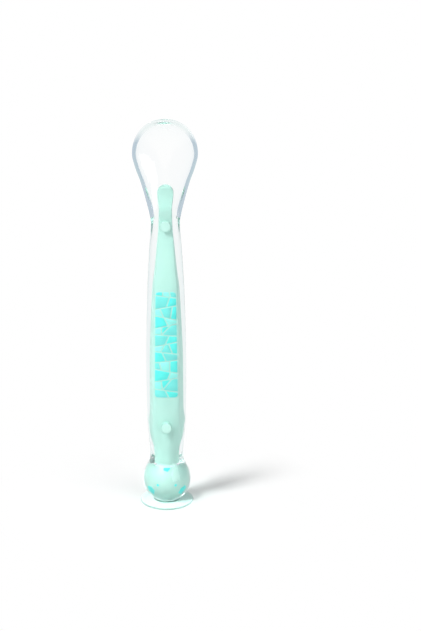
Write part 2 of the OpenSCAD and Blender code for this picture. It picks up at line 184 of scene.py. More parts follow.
@dataclass(frozen=True)
class SpoonSizes:
    """The spoon's driving sizes in millimetres, measured from the surface that it stands on.

    Attributes:
        overall_h: Height to the tip of the bowl.
        bowl_w: Width of the bowl.
        foot_d: Diameter of the suction foot.
        foot_h: Height of the seat that the ball is bonded to.
    """

    overall_h: float
    bowl_w: float
    foot_d: float
    foot_h: float
    # The bowl: its lengths down from the tip, its depth, its walls and its rounded lip.
    tip_len: float = 13.6
    bowl_len: float = 41.0
    hollow_len: float = 38.4
    throat_len: float = 9.0
    throat_low_share: float = 0.25
    bowl_t: float = 7.2
    side_wall: float = 1.5
    tip_wall: float = 2.2
    floor_wall: float = 1.6
    lip_h: float = 0.9
    lip_start_share: float = 0.5
    rim_forward: float = 2.6
    lip_blend: float = 0.7
    # The sleeve: width and thickness at the neck, the grip and the waist.
    neck_w: float = 11.1
    neck_t: float = 6.4
    grip_z: float = 58.0
    grip_w: float = 15.6
    grip_t: float = 12.0
    waist_z: float = 20.5
    waist_w: float = 13.2
    waist_t: float = 11.8
    # The clear ball, with its fillet, and the foot under it.
    ball_d: float = 18.8
    ball_blend: float = 2.7
    seat_d: float = 10.4
    collar_d: float = 12.2
    collar_z: float = 1.2
    edge_t: float = 0.7
    rest_w: float = 1.2
    suction_h: float = 0.8
    # The silicone beside the core, from the neck down, and in front of it.
    neck_side: float = 2.95
    grip_side: float = 2.6
    print_side: float = 2.4
    shoulder_z: float = 30.0
    shoulder_side: float = 2.25
    waist_side: float = 3.0
    neck_cover: float = 1.5
    grip_cover: float = 2.9
    waist_cover: float = 3.2
    # The core: its ball, its paddle and its studs.
    core_ball_d: float = 12.9
    core_blend: float = 1.6
    paddle_w: float = 6.6
    paddle_end: float = 3.2
    paddle_drop: float = 27.3
    paddle_cover: float = 0.7
    stud_d: float = 4.1
    stud_proud: float = 0.12
    upper_stud_drop: float = 42.5
    lower_stud_z: float = 33.0
    # The mosaic and the chips of ink.
    print_w: float = 9.0
    print_top_w: float = 8.2
    print_drop: float = 68.8
    print_z: float = 45.2
    print_round: float = 1.0
    tile_gap: float = 0.5
    ink_t: float = 0.12
    chip_d: float = 4.0

    @classmethod
    def from_frame(cls) -> SpoonSizes:
        """Return the sizes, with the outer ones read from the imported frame.

        Returns:
            The sizes.
        """
        low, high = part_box("silicone_jacket")
        foot_low, foot_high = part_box("suction_foot")
        return cls(
            overall_h=round(high[2] / MM, 2),
            bowl_w=round((high[0] - low[0]) / MM, 2),
            foot_d=round((foot_high[0] - foot_low[0]) / MM, 1),
            foot_h=round(foot_high[2] / MM, 2),
        )

    @property
    def neck_z(self) -> float:
        """Height of the neck."""
        return self.overall_h - self.bowl_len

    @property
    def widest_z(self) -> float:
        """Height of the bowl's widest place."""
        return self.overall_h - self.tip_len

    @property
    def hollow_z(self) -> float:
        """Height at which the bowl's hollow ends."""
        return self.overall_h - self.hollow_len

    @property
    def throat_z(self) -> float:
        """Height at which the hollow starts to run out into the neck."""
        return self.neck_z - self.throat_len * self.throat_low_share

    @property
    def throat_top_z(self) -> float:
        """Height at which the hollow has its full depth."""
        return self.throat_z + self.throat_len

    @property
    def ball_r(self) -> float:
        """Radius of the clear ball."""
        return self.ball_d / 2

    @property
    def seat_r(self) -> float:
        """Radius of the seat between the ball and the foot."""
        return self.seat_d / 2

    @property
    def ball_z(self) -> float:
        """Height of the ball's middle."""
        return self.foot_h + math.sqrt(self.ball_r**2 - self.seat_r**2)

    @property
    def core_ball_r(self) -> float:
        """Radius of the core's ball."""
        return self.core_ball_d / 2

    @property
    def land_y(self) -> float:
        """Distance from the handle's axis to the flat land that holds the print."""
        return self.grip_t / 2 - self.grip_cover

    @property
    def paddle_tip_z(self) -> float:
        """Height of the paddle's end."""
        return self.overall_h - self.paddle_drop

    @property
    def paddle_z(self) -> float:
        """Height at which the paddle's round end starts."""
        return self.paddle_tip_z - self.paddle_end

    @property
    def print_top_z(self) -> float:
        """Height of the mosaic's upper edge."""
        return self.overall_h - self.print_drop

    @property
    def print_h(self) -> float:
        """Height of the mosaic from its lower edge to its upper one."""
        return self.print_top_z - self.print_z

    @property
    def stud_heights(self) -> tuple[float, float]:
        """Heights of the upper and the lower stud."""
        return self.overall_h - self.upper_stud_drop, self.lower_stud_z


# Each table holds shares of the way between two places, and of the change in size on that way.
WAIST_TO_GRIP_SHARES = ((0, 0), (0.27, 0.54), (0.62, 0.9), (1, 1))
GRIP_TO_NECK_SHARES = ((0, 0), (0.5, 0.27), (0.8, 0.68), (1, 1))
NECK_TO_BOWL_SHARES = ((0, 0), (0.12, 0.07), (0.33, 0.26), (0.6, 0.55), (0.82, 0.85), (1, 1))
RIM_SHARES = ((0, 0), (0.25, 0.24), (0.5, 0.7), (0.75, 0.95), (1, 1))
SHOULDER_SHARES = ((0, 0), (0.25, 0.13), (0.41, 0.28), (0.57, 0.58), (0.74, 0.88), (1, 1))
GRIP_WALL_SHARES = ((0, 0), (0.4, 0.75), (1, 1))
NECK_WALL_SHARES = ((0, 0), (0.32, 0.55), (1, 1))

# The paddle widens over the upper part of its length, past this share of it.
PADDLE_ROOT_SHARE = 0.4
# The bowl's outline is a little fuller than an ellipse, by this power.
TIP_POWER = 2.12
# The sleeve's section is an ellipse at the ball and the bowl, and squarer between, by this power.
SLEEVE_POWER = 3.0
# It is an ellipse again at this share of the way from the neck to the bowl's widest place.
OPENING_SHARE = 0.65


class Skin:
    """The outer surface of the jacket: its width, and its front and back at any height.

    Attributes:
        sizes: The spoon's sizes.
        width: Half of the sleeve's and the bowl's width by height.
        front: How far the front lies before the handle's axis, by height, if nothing were hollow.
        back: How far the back lies behind that axis, by height.
        rim: Where the plane between the front and the back lies, by height.
    """

    def __init__(self, sizes: SpoonSizes) -> None:
        """Lay out the tables that the surface follows.

        Args:
            sizes: The spoon's sizes.
        """
        s = self.sizes = sizes
        waist = (s.waist_z, s.waist_w / 2)
        grip = (s.grip_z, s.grip_w / 2)
        neck = (s.neck_z, s.neck_w / 2)
        widest = (s.widest_z, s.bowl_w / 2)
        self.width = Curve(
            stations(waist, grip, WAIST_TO_GRIP_SHARES)
            + stations(grip, neck, GRIP_TO_NECK_SHARES)[1:]
            + stations(neck, widest, NECK_TO_BOWL_SHARES)[1:]
        )
        handle = [(s.waist_z, s.waist_t / 2), (s.grip_z, s.grip_t / 2), (s.neck_z, s.neck_t / 2)]
        self.front = Curve(handle + [(s.widest_z, s.rim_forward + s.lip_h)])
        self.back = Curve(handle + [(s.widest_z, s.bowl_t - s.rim_forward)])
        self.rim = Curve(stations((s.print_top_z, 0), (s.widest_z, -s.rim_forward), RIM_SHARES))

    def on_ball(self, value: float, z: float, radius: float, blend: float) -> float:
        """Return a half size, run into a ball with a fillet.

        Args:
            value: The half size without the ball.
            z: The height.
            radius: The ball's radius.
            blend: Size of the fillet.

        Returns:
            The half size with the ball.
        """
        ball = math.sqrt(max(radius**2 - (z - self.sizes.ball_z) ** 2, 0.0))
        return ball if z <= self.sizes.ball_z else smooth_max(value, ball, blend)

    def tip_round(self, z: float) -> float:
        """Return the share of the widest width that is left at a height in the tip."""
        share = min(max((z - self.sizes.widest_z) / self.sizes.tip_len, 0.0), 1.0)
        return (1 - share**TIP_POWER) ** (1 / TIP_POWER)

    def half_width(self, z: float) -> float:
        """Return half of the jacket's width at a height."""
        s = self.sizes
        return self.on_ball(self.width.at(z), z, s.ball_r, s.ball_blend) * self.tip_round(z)

    def opening(self, z: float) -> float:
        """Return how far the section has gone back to an ellipse at a height, from 0 to 1."""
        s = self.sizes
        return ease((z - s.neck_z) / (s.widest_z - s.neck_z) / OPENING_SHARE)

    def squareness(self, z: float) -> float:
        """Return how far the handle's section is from round at a height, above the waist."""
        s = self.sizes
        return ease((z - s.waist_z) / (s.print_z - s.stud_d - s.waist_z))

    def throat(self, z: float) -> float:
        """Return how far a height lies into the throat of the bowl, from 0 to 1."""
        return ease((z - self.sizes.throat_z) / self.sizes.throat_len)

    def facing(self, x: float, z: float) -> float:
        """Return how far a place lies from the sides of its section, along its curve.

        Args:
            x: Place across the spoon.
            z: The height.

        Returns:
            1 at the middle of the section, and 0 at its sides.
        """
        half = self.half_width(z)
        if half <= 0:
            return 0.0
        power = mix(2, SLEEVE_POWER, self.squareness(z) * (1 - self.opening(z)))
        return max(1 - abs(x / half) ** power, 0.0) ** (1 / power) * self.tip_round(z)

    def round_front(self, x: float, z: float) -> float:
        """Return where the front would lie if the bowl weren't hollow.

        Args:
            x: Place across the spoon.
            z: The height.

        Returns:
            The surface's place on the Y axis.
        """
        s = self.sizes
        depth = self.on_ball(self.front.at(z), z, s.ball_r, s.ball_blend) + self.rim.at(z)
        return self.rim.at(z) - depth * self.facing(x, z)

    def back_y(self, x: float, z: float) -> float:
        """Return where the back of the jacket lies.

        Args:
            x: Place across the spoon.
            z: The height.

        Returns:
            The surface's place on the Y axis.
        """
        s = self.sizes
        depth = self.on_ball(self.back.at(z), z, s.ball_r, s.ball_blend) - self.rim.at(z)
        return self.rim.at(z) + depth * self.facing(x, z)

    def hollow_depth(self, x: float, z: float) -> float:
        """Return the hollow's depth at a place as a share of its full depth.

        Args:
            x: Place across the spoon.
            z: The height.

        Returns:
            The share: 1 at its deepest, and negative outside it.
        """
        s = self.sizes
        inner = (s.bowl_w / 2 if z > s.widest_z else self.half_width(z)) - s.side_wall
        along = max(z - s.widest_z, 0.0) / (s.tip_len - s.tip_wall)
        within = 1 - (x / inner) ** 2 - along**2
        down = max(s.widest_z - z, 0.0) / (s.widest_z - s.hollow_z)
        ramp = 1 - down**2
        if ramp > 0 and within > 0:
            return ramp * math.sqrt(within)
        return min(ramp, 0.0) + min(signed_root(within), 0.0)

    def front_y(self, x: float, z: float) -> float:
        """Return where the front of the jacket lies, hollow included.

        Args:
            x: Place across the spoon.
            z: The height.

        Returns:
            The surface's place on the Y axis.
        """
        s = self.sizes
        lip_start = s.lip_h * s.lip_start_share
        full = s.bowl_t + lip_start - s.floor_wall
        outer = self.round_front(x, z)
        fade = self.throat(z)
        if fade == 0:
            return outer
        hollow = self.rim.at(z) - lip_start + full * self.hollow_depth(x, z)
        return outer + fade * smooth_max(hollow - outer, 0.0, s.lip_blend)


class CoreForm:
    """The surface of the rigid core: a ball, a squarish shank and a flat paddle.

    Attributes:
        sizes: The spoon's sizes.
        skin: The jacket's outer surface, which the core's faces follow.
        wall: Thickness of the silicone beside the shank, by height.
        depth: How far the shank's front and back lie from its axis, by height.
        paddle: Half of the paddle's width, by height.
    """

    # Each face of the section bulges by the first number, is cut flat at 1, and the second
    # number softens the corner between.
    FRONT_CORNER = (2.6, 0.2)
    BACK_CORNER = (1.0, 0.3)
    # The paddle keeps its thickness almost to its end, by this power.
    PADDLE_POWER = 5

    def __init__(self, sizes: SpoonSizes, skin: Skin) -> None:
        """Lay out the tables that the core follows.

        Args:
            sizes: The spoon's sizes.
            skin: The jacket's outer surface.
        """
        s = self.sizes = sizes
        self.skin = skin
        waist = (s.waist_z, s.waist_side)
        shoulder = (s.shoulder_z, s.shoulder_side)
        grip = (s.grip_z, s.grip_side)
        print_top = (s.print_top_z, s.print_side)
        neck = (s.neck_z, s.neck_side)
        self.wall = Curve(
            stations(waist, shoulder, SHOULDER_SHARES)
            + stations(shoulder, grip, GRIP_WALL_SHARES)[1:]
            + stations(print_top, neck, NECK_WALL_SHARES)
        )
        self.depth = Curve(
            [
                (s.waist_z, s.waist_t / 2 - s.waist_cover),
                (s.print_z - s.stud_d, s.land_y),
                (s.print_top_z + s.stud_d, s.land_y),
                (s.neck_z, s.neck_t / 2 - s.neck_cover),
            ]
        )
        neck_half = s.neck_w / 2 - s.neck_side
        root_z = mix(s.neck_z, s.paddle_z, PADDLE_ROOT_SHARE)
        self.paddle = Curve([(s.neck_z, neck_half), (root_z, neck_half), (s.paddle_z, s.paddle_w / 2)])

    def into_paddle(self, z: float) -> float:
        """Return how far a height lies into the paddle, from 0 to 1."""
        s = self.sizes
        return ease((z - s.neck_z) / (s.paddle_z - s.neck_z))

    def paddle_share(self, z: float) -> float:
        """Return how far a height lies into the paddle's round end, from 0 to 1."""
        s = self.sizes
        return min(max((z - s.paddle_z) / s.paddle_end, 0.0), 1.0)

    def half_width(self, z: float) -> float:
        """Return half of the core's width.

        Args:
            z: The height.

        Returns:
            Half of the width there.
        """
        s = self.sizes
        if z > s.neck_z:
            return self.paddle.at(z) * math.sqrt(1 - self.paddle_share(z) ** 2)
        shank = self.skin.width.at(z) - self.wall.at(z)
        return self.skin.on_ball(shank, z, s.core_ball_r, s.core_blend)

    def faces(self, z: float) -> tuple[float, float]:
        """Return where the middles of the core's front and back lie.

        Args:
            z: The height.

        Returns:
            The places of the front and of the back on the Y axis.
        """
        s = self.sizes
        depth = self.skin.on_ball(self.depth.at(z), z, s.core_ball_r, s.core_blend)
        share = self.into_paddle(z)
        front = mix(-depth, self.skin.front_y(0, z) + s.paddle_cover, share)
        back = mix(depth, self.skin.back_y(0, z) - s.paddle_cover, share)
        return front, back

    def ring(self, z: float, sides: int, inset: float = 0.0) -> list[Vector]:
        """Return the points of the core's section at a height.

        Args:
            z: The height.
            sides: How many points the section has.
            inset: How far the section is drawn in.

        Returns:
            The points in millimetres, from the front round by the right.
        """
        front, back = self.faces(z)
        half = max(self.half_width(z) - inset, inset)
        thick = (back - front) / 2 * (1 - self.paddle_share(z) ** self.PADDLE_POWER)
        thick = max(thick - inset, inset)
        square = self.skin.squareness(z)
        points = []
        for k in range(sides):
            angle = math.tau * k / sides
            forward = math.cos(angle)
            side, (bulge, softness) = (-1, self.FRONT_CORNER) if forward > 0 else (1, self.BACK_CORNER)
            flat = smooth_min(bulge * abs(forward), 1, softness)
            y = (front + back) / 2 + side * thick * mix(abs(forward), flat, square)
            points.append(Vector((half * math.sin(angle), y, z)))
        return points

    def heights(self, ball_rings: int, shank_rings: int, paddle_rings: int) -> list[float]:
        """Return the heights of the core's rings, from just above its foot to just below its tip.

        Args:
            ball_rings: Rings round the ball.
            shank_rings: Rings along the shank.
            paddle_rings: Rings along the paddle, and again round its end.

        Returns:
            The heights in millimetres.
        """
        s = self.sizes
        shank_half = s.waist_w / 2 - s.waist_side
        top = math.pi - math.asin(shank_half / s.core_ball_r)
        turns = [top * i / ball_rings for i in range(1, ball_rings + 1)]
        ball = [s.ball_z - s.core_ball_r * math.cos(turn) for turn in turns]
        shank = [mix(ball[-1], s.neck_z, i / shank_rings) for i in range(1, shank_rings + 1)]
        paddle = [mix(s.neck_z, s.paddle_z, i / paddle_rings) for i in range(1, paddle_rings + 1)]
        end = [
            mix(s.paddle_z, s.paddle_tip_z, math.sin(math.pi / 2 * i / paddle_rings))
            for i in range(1, paddle_rings)
        ]
        return ball + shank + paddle + end


class Selection:
    """Selecting by hand: nothing, one object, its whole mesh, or vertices by their place."""

    @staticmethod
    def nothing() -> None:
        """Leave edit mode and deselect every object."""
        if bpy.context.object and bpy.context.object.mode != "OBJECT":
            bpy.ops.object.mode_set(mode="OBJECT")
        bpy.ops.object.select_all(action="DESELECT")

    @staticmethod
    def only(piece: bpy.types.Object) -> None:
        """Select one object alone and make it the active one.

        Args:
            piece: The object.
        """
        Selection.nothing()
        piece.select_set(True)
        bpy.context.view_layer.objects.active = piece

    @staticmethod
    def whole_mesh() -> None:
        """Enter edit mode and select all of the active object's mesh."""
        bpy.ops.object.mode_set(mode="EDIT")
        bpy.ops.mesh.select_all(action="SELECT")

    @staticmethod
    def vertices(piece: bpy.types.Object, wanted: Callable[[bmesh.types.BMVert], bool]) -> None:
        """Select the wanted vertices and no others, in edit mode.

        Args:
            piece: The object in edit mode.
            wanted: Says of a vertex, whose place is in metres, whether it is wanted.
        """
        bpy.ops.mesh.select_all(action="DESELECT")
        mesh = bmesh.from_edit_mesh(piece.data)
        mesh.verts.index_update()
        for vertex in mesh.verts:
            vertex.select = wanted(vertex)
        mesh.select_flush_mode()
        bmesh.update_edit_mesh(piece.data)

    @staticmethod
    def move(piece: bpy.types.Object, moved: Callable[[Vector], Vector]) -> None:
        """Move the selected vertices, in edit mode.

        Args:
            piece: The object in edit mode.
            moved: Gives a vertex's new place in metres from its old one.
        """
        mesh = bmesh.from_edit_mesh(piece.data)
        for vertex in mesh.verts:
            if vertex.select:
                vertex.co = moved(vertex.co)
        bmesh.update_edit_mesh(piece.data)


def settle(sharp: float | None = None, inside: bool = False) -> None:
    """Turn the faces one way, leave edit mode and smooth the shading.

    Args:
        sharp: Turn in degrees past which an edge stays sharp, or None where every edge is smooth.
        inside: Whether the faces point inwards, as on a wall round a space.
    """
    bpy.ops.mesh.select_all(action="SELECT")
    bpy.ops.mesh.normals_make_consistent(inside=inside)
    bpy.ops.object.mode_set(mode="OBJECT")
    if sharp is None:
        bpy.ops.object.shade_smooth()
    else:
        bpy.ops.object.shade_smooth_by_angle(angle=math.radians(sharp))


def join(pieces: Sequence[bpy.types.Object], name: str) -> bpy.types.Object:
    """Join objects into the first of them and name it.

    Args:
        pieces: The objects, two or more.
        name: Name of the joined object.

    Returns:
        The joined object.
    """
    Selection.only(pieces[0])
    for piece in pieces:
        piece.select_set(True)
    bpy.ops.object.join()
    pieces[0].name = pieces[0].data.name = name
    return pieces[0]


class RingModeller:
    """Draws a skin out of one ring: extrude it, shape the new ring, and go on.

    Attributes:
        piece: The object that is being drawn.
    """

    # A new ring starts a little above the last, so that the two are apart until it is shaped.
    STEP = {"value": (0, 0, MM)}

    def __init__(self, name: str, rings: Sequence[Sequence[Vector]]) -> None:
        """Shape a circle to the first ring, and draw it out through the others.

        Args:
            name: The object's name.
            rings: The rings' points in millimetres, with as many in each.
        """
        sides = len(rings[0])
        Selection.nothing()
        bpy.ops.mesh.primitive_circle_add(vertices=sides, radius=MM, fill_type="NOTHING")
        self.piece = bpy.context.active_object
        self.piece.name = self.piece.data.name = name
        bpy.ops.object.mode_set(mode="EDIT")
        bpy.ops.mesh.select_mode(type="VERT")
        self._indices = list(range(sides))
        self._shape(rings[0])
        for ring in rings[1:]:
            bpy.ops.mesh.extrude_region_move(TRANSFORM_OT_translate=self.STEP)
            self._follow()
            self._shape(ring)

    def _shape(self, ring: Sequence[Vector]) -> None:
        """Move the newest ring's vertices to their places.

        Args:
            ring: The places in millimetres.
        """
        mesh = bmesh.from_edit_mesh(self.piece.data)
        mesh.verts.ensure_lookup_table()
        for index, place in zip(self._indices, ring):
            mesh.verts[index].co = place * MM
        bmesh.update_edit_mesh(self.piece.data)

    def _follow(self) -> None:
        """Find the selected vertex that each vertex of the last ring was drawn out to."""
        mesh = bmesh.from_edit_mesh(self.piece.data)
        mesh.verts.ensure_lookup_table()
        fresh = []
        for index in self._indices:
            last = mesh.verts[index]
            ends = (edge.other_vert(last) for edge in last.link_edges)
            fresh.append(next(end.index for end in ends if end.select))
        self._indices = fresh

    def _close_point(self, place: Vector) -> None:
        """Draw the selected ring together to a point.

        Args:
            place: The point in millimetres.
        """
        bpy.ops.mesh.extrude_region_move(TRANSFORM_OT_translate=self.STEP)
        bpy.ops.mesh.merge(type="CENTER")
        Selection.move(self.piece, lambda _: place * MM)

    def select_first(self) -> None:
        """Select the ring that the skin was started from."""
        Selection.vertices(self.piece, lambda vertex: vertex.index < len(self._indices))

    def close_ends(self, last: Vector, first: Vector) -> None:
        """Draw the last ring together to a point, and the first ring to another.

        Args:
            last: The last ring's point in millimetres.
            first: The first ring's point.
        """
        self._close_point(last)
        self.select_first()
        self._close_point(first)

    def finish(self, sharp: float | None = None, inside: bool = False) -> bpy.types.Object:
        """Settle the skin and return it.

        Args:
            sharp: Turn in degrees past which an edge stays sharp, or None.
            inside: Whether the faces point inwards.

        Returns:
            The finished object.
        """
        settle(sharp, inside)
        return self.piece


def core_skin(
    name: str, core: CoreForm, rings: tuple[int, int, int], sides: int, inset: float = 0.0
) -> RingModeller:
    """Draw a skin in the core's form, closed under its ball and at its tip.

    Args:
        name: The object's name.
        core: The form.
        rings: Rings round the ball, along the shank and along the paddle.
        sides: Points round a ring.
        inset: How far the skin lies under the form, in millimetres.

    Returns:
        The modeller, with the skin in edit mode.
    """
    s = core.sizes
    modeller = RingModeller(name, [core.ring(z, sides, inset) for z in core.heights(*rings)])
    front, back = core.faces(s.paddle_tip_z)
    tip = Vector((0, (front + back) / 2, s.paddle_tip_z - inset))
    modeller.close_ends(last=tip, first=Vector((0, 0, s.ball_z - s.core_ball_r + inset)))
    return modeller


class Ramp(Enum):
    """How a value climbs between two limits."""

    EVEN = "LINEAR"
    GENTLE = "SMOOTHSTEP"


class Nodes:
    """Lays nodes in a tree and links them, so that a finish reads from top to bottom.

    Attributes:
        tree: The tree.
    """

    def __init__(self, tree: bpy.types.NodeTree) -> None:
        """Empty a tree and start in it."""
        self.tree = tree
        tree.nodes.clear()

    def add(
        self, kind: str, settings: dict[str, object] | None = None, **sockets: object
    ) -> bpy.types.Node:
        """Add a node and set or link its inputs.

        Args:
            kind: The node's type.
            settings: Properties of the node by name.
            sockets: Values or output sockets by input name, with _ for a space.

        Returns:
            The node.
        """
        node = self.tree.nodes.new(kind)
        for name, value in (settings or {}).items():
            setattr(node, name, value)
        for name, value in sockets.items():
            self.feed(node, name.replace("_", " "), value)
        return node

    def feed(self, node: bpy.types.Node, name: str | int, value: object) -> None:
        """Link an output socket to an input, or set the input's own value.

        Args:
            node: The node.
            name: The input's name or number.
            value: The output socket or the value.
        """
        if isinstance(value, bpy.types.NodeSocket):
            self.tree.links.new(value, node.inputs[name])
        else:
            node.inputs[name].default_value = value

    def math(self, operation: str, *values: object) -> bpy.types.NodeSocket:
        """Return the result of one sum.

        Args:
            operation: The sum's name.
            values: Its numbers or sockets.

        Returns:
            The result's socket.
        """
        node = self.add("ShaderNodeMath", {"operation": operation})
        for index, value in enumerate(values):
            self.feed(node, index, value)
        return node.outputs[0]

    def place(self) -> bpy.types.NodeSocket:
        """Return a point's place on its object."""
        return self.add("ShaderNodeTexCoord").outputs["Object"]

    def parts(self, vector: bpy.types.NodeSocket) -> bpy.types.NodeOutputs:
        """Return a vector's X, Y and Z."""
        return self.add("ShaderNodeSeparateXYZ", Vector=vector).outputs

    def ramp(
        self,
        value: bpy.types.NodeSocket,
        low: float,
        high: float,
        kind: Ramp = Ramp.EVEN,
        **sockets: object,
    ) -> bpy.types.NodeSocket:
        """Return 0 where a value is low and 1 where it is high, held at both ends.

        Args:
            value: The value.
            low: Where the climb starts.
            high: Where it ends.
            kind: How it climbs between.
            sockets: To_Min and To_Max, where the result isn't from 0 to 1.

        Returns:
            The result's socket.
        """
        sockets |= {"Value": value, "From_Min": low, "From_Max": high}
        node = self.add("ShaderNodeMapRange", {"interpolation_type": kind.value}, **sockets)
        return node.outputs["Result"]

    def blend(self, share: bpy.types.NodeSocket, first: object, second: object) -> bpy.types.NodeSocket:
        """Blend two colours.

        Args:
            share: Share of the second.
            first: The colour that shows where the share is 0.
            second: The colour that shows where the share is 1.

        Returns:
            The blended colour's socket.
        """
        node = self.add("ShaderNodeMix", {"data_type": "RGBA"})
        # The node has sockets for other kinds of data too. Its colours are at these numbers.
        for index, value in ((0, share), (6, first), (7, second)):
            self.feed(node, index, value)
        return node.outputs[2]

    def mix_shaders(
        self, share: bpy.types.NodeSocket, first: bpy.types.Node, second: bpy.types.Node
    ) -> bpy.types.Node:
        """Mix two shaders.

        Args:
            share: Share of the second.
            first: The shader that shows where the share is 0.
            second: The shader that shows where the share is 1.

        Returns:
            The mixing node.
        """
        node = self.add("ShaderNodeMixShader")
        for index, value in enumerate((share, first.outputs[0], second.outputs[0])):
            self.feed(node, index, value)
        return node


def start_material(name: str) -> tuple[bpy.types.Material, Nodes]:
    """Start a material.

    Args:
        name: Its name.

    Returns:
        The material and its nodes, still empty.
    """
    material = bpy.data.materials.new(name)
    material.use_nodes = True
    return material, Nodes(material.node_tree)


class Effects:
    """Node groups that more than one finish uses, each built once.

    Attributes:
        moulded: A surface's roughness and normal.
        mottled: A colour that drifts between two shades.
    """

    # The gloss comes and goes at a finer scale than the waves, by this ratio.
    GRAIN_RATIO = 9.0
    # The noise lies mostly between these values, so the whole change is made between them.
    GRAIN_RANGE = (0.3, 0.7)
    CLOUD_RANGE = (0.35, 0.65)
    # Height of the waves in metres at a depth of 1.
    WAVE_H = MM / 2

    def __init__(self) -> None:
        """Build the groups."""
        self.moulded = self._moulded()
        self.mottled = self._mottled()

    @staticmethod
    def _group(
        name: str, inputs: Iterable[tuple[str, str, object]], outputs: Iterable[tuple[str, str]]
    ) -> Nodes:
        """Start a group with named sockets.

        Args:
            name: The group's name.
            inputs: Name, socket type and default of each input.
            outputs: Name and socket type of each output.

        Returns:
            The group's nodes, still empty.
        """
        tree = bpy.data.node_groups.new(name, "ShaderNodeTree")
        for label, kind, default in inputs:
            socket = tree.interface.new_socket(name=label, in_out="INPUT", socket_type=kind)
            socket.default_value = default
        for label, kind in outputs:
            tree.interface.new_socket(name=label, in_out="OUTPUT", socket_type=kind)
        return Nodes(tree)

    def _moulded(self) -> bpy.types.NodeTree:
        """Build a moulded surface: it waves faintly, and its gloss comes and goes.

        Returns:
            The group.
        """
        nodes = self._group(
            "moulded_surface",
            [
                ("Scale", "NodeSocketFloat", 160.0),
                ("Low Roughness", "NodeSocketFloat", 0.1),
                ("High Roughness", "NodeSocketFloat", 0.2),
                ("Depth", "NodeSocketFloat", 0.1),
            ],
            [("Roughness", "NodeSocketFloat"), ("Normal", "NodeSocketVector")],
        )
        given = nodes.add("NodeGroupInput").outputs
        place, scale = nodes.place(), given["Scale"]
        waves = nodes.add("ShaderNodeTexNoise", Vector=place, Scale=scale, Detail=3.0, Roughness=0.5)
        fine = nodes.math("MULTIPLY", scale, self.GRAIN_RATIO)
        grain = nodes.add("ShaderNodeTexNoise", Vector=place, Scale=fine, Detail=2.0)
        low, high = given["Low Roughness"], given["High Roughness"]
        gloss = nodes.ramp(grain.outputs["Fac"], *self.GRAIN_RANGE, To_Min=low, To_Max=high)
        height = waves.outputs["Fac"]
        bump = nodes.add("ShaderNodeBump", Strength=given["Depth"], Distance=self.WAVE_H, Height=height)
        nodes.add("NodeGroupOutput", Roughness=gloss, Normal=bump.outputs["Normal"])
        return nodes.tree

    def _mottled(self) -> bpy.types.NodeTree:
        """Build a colour that drifts softly between a main shade and a second one.

        Returns:
            The group.
        """
        nodes = self._group(
            "mottled_colour",
            [
                ("Scale", "NodeSocketFloat", 120.0),
                ("Main", "NodeSocketColor", WHITE),
                ("Second", "NodeSocketColor", WHITE),
            ],
            [("Colour", "NodeSocketColor")],
        )
        given = nodes.add("NodeGroupInput").outputs
        place, scale = nodes.place(), given["Scale"]
        clouds = nodes.add("ShaderNodeTexNoise", Vector=place, Scale=scale, Detail=2.0, Roughness=0.45)
        share = nodes.ramp(clouds.outputs["Fac"], *self.CLOUD_RANGE)
        nodes.add("NodeGroupOutput", Colour=nodes.blend(share, given["Main"], given["Second"]))
        return nodes.tree


@dataclass(frozen=True)
class ClearSilicone:
    """Clear silicone: it bends light, and takes a faint tint with depth.

    Attributes:
        name: The material's name.
        tint: Colour that light takes on deep inside.
        tint_density: How fast it takes that colour, per metre.
        painted_edge_shade: Painted shade that the colour takes where the surface is seen edge on, for
            the darker surroundings that the edges bend and mirror.
        painted_edge_blend: How far that painted shade reaches in from the edge.
        shade: How much light its shadow lets through, by colour.
        ior: How strongly it bends light.
        wave_scale: Scale of the surface's faint waves.
        wave_depth: How strongly it waves.
        low_roughness: Roughness where it is glossiest.
        high_roughness: Roughness where it is dullest.
    """

    name: str
    tint: Colour = (0.50, 0.72, 0.70)
    tint_density: float = 18.0
    painted_edge_shade: Colour = (0.88, 0.94, 0.96)
    painted_edge_blend: float = 0.35
    shade: Colour = (0.90, 0.925, 0.92)
    ior: float = 1.41
    wave_scale: float = 90.0
    wave_depth: float = 0.02
    low_roughness: float = 0.015
    high_roughness: float = 0.045

    def material(self, effects: Effects) -> bpy.types.Material:
        """Return the material.

        A ray that the silicone has mirrored passes straight out through the next surface, so
        that light isn't led round inside the walls. Its shadow takes the shade's colour.

        Args:
            effects: The shared node groups.

        Returns:
            The finished material.
        """
        material, nodes = start_material(self.name)
        surface = nodes.add(
            "ShaderNodeGroup",
            {"node_tree": effects.moulded},
            Scale=self.wave_scale,
            Low_Roughness=self.low_roughness,
            High_Roughness=self.high_roughness,
            Depth=self.wave_depth,
        )
        # Painted shade: the colour turns grey-blue where the surface is seen edge on, in place of the
        # darker surroundings that the edges bend and mirror.
        edge = nodes.add("ShaderNodeLayerWeight", Blend=self.painted_edge_blend)
        clear = nodes.add(
            "ShaderNodeBsdfPrincipled",
            Base_Color=nodes.blend(edge.outputs["Facing"], WHITE, (*self.painted_edge_shade, 1)),
            Roughness=surface.outputs["Roughness"],
            IOR=self.ior,
            Transmission_Weight=1.0,
            Normal=surface.outputs["Normal"],
        )
        shadow = nodes.add("ShaderNodeBsdfTransparent", Color=(*self.shade, 1))
        way_out = nodes.add("ShaderNodeBsdfTransparent")
        path = nodes.add("ShaderNodeLightPath").outputs
        bent = nodes.mix_shaders(path["Is Transmission Ray"], way_out, clear)
        led_out = nodes.mix_shaders(path["Is Glossy Ray"], clear, bent)
        both = nodes.mix_shaders(path["Is Shadow Ray"], led_out, shadow)
        depth = nodes.add("ShaderNodeVolumeAbsorption", Color=(*self.tint, 1), Density=self.tint_density)
        nodes.add("ShaderNodeOutputMaterial", Surface=both.outputs[0], Volume=depth.outputs[0])
        return material


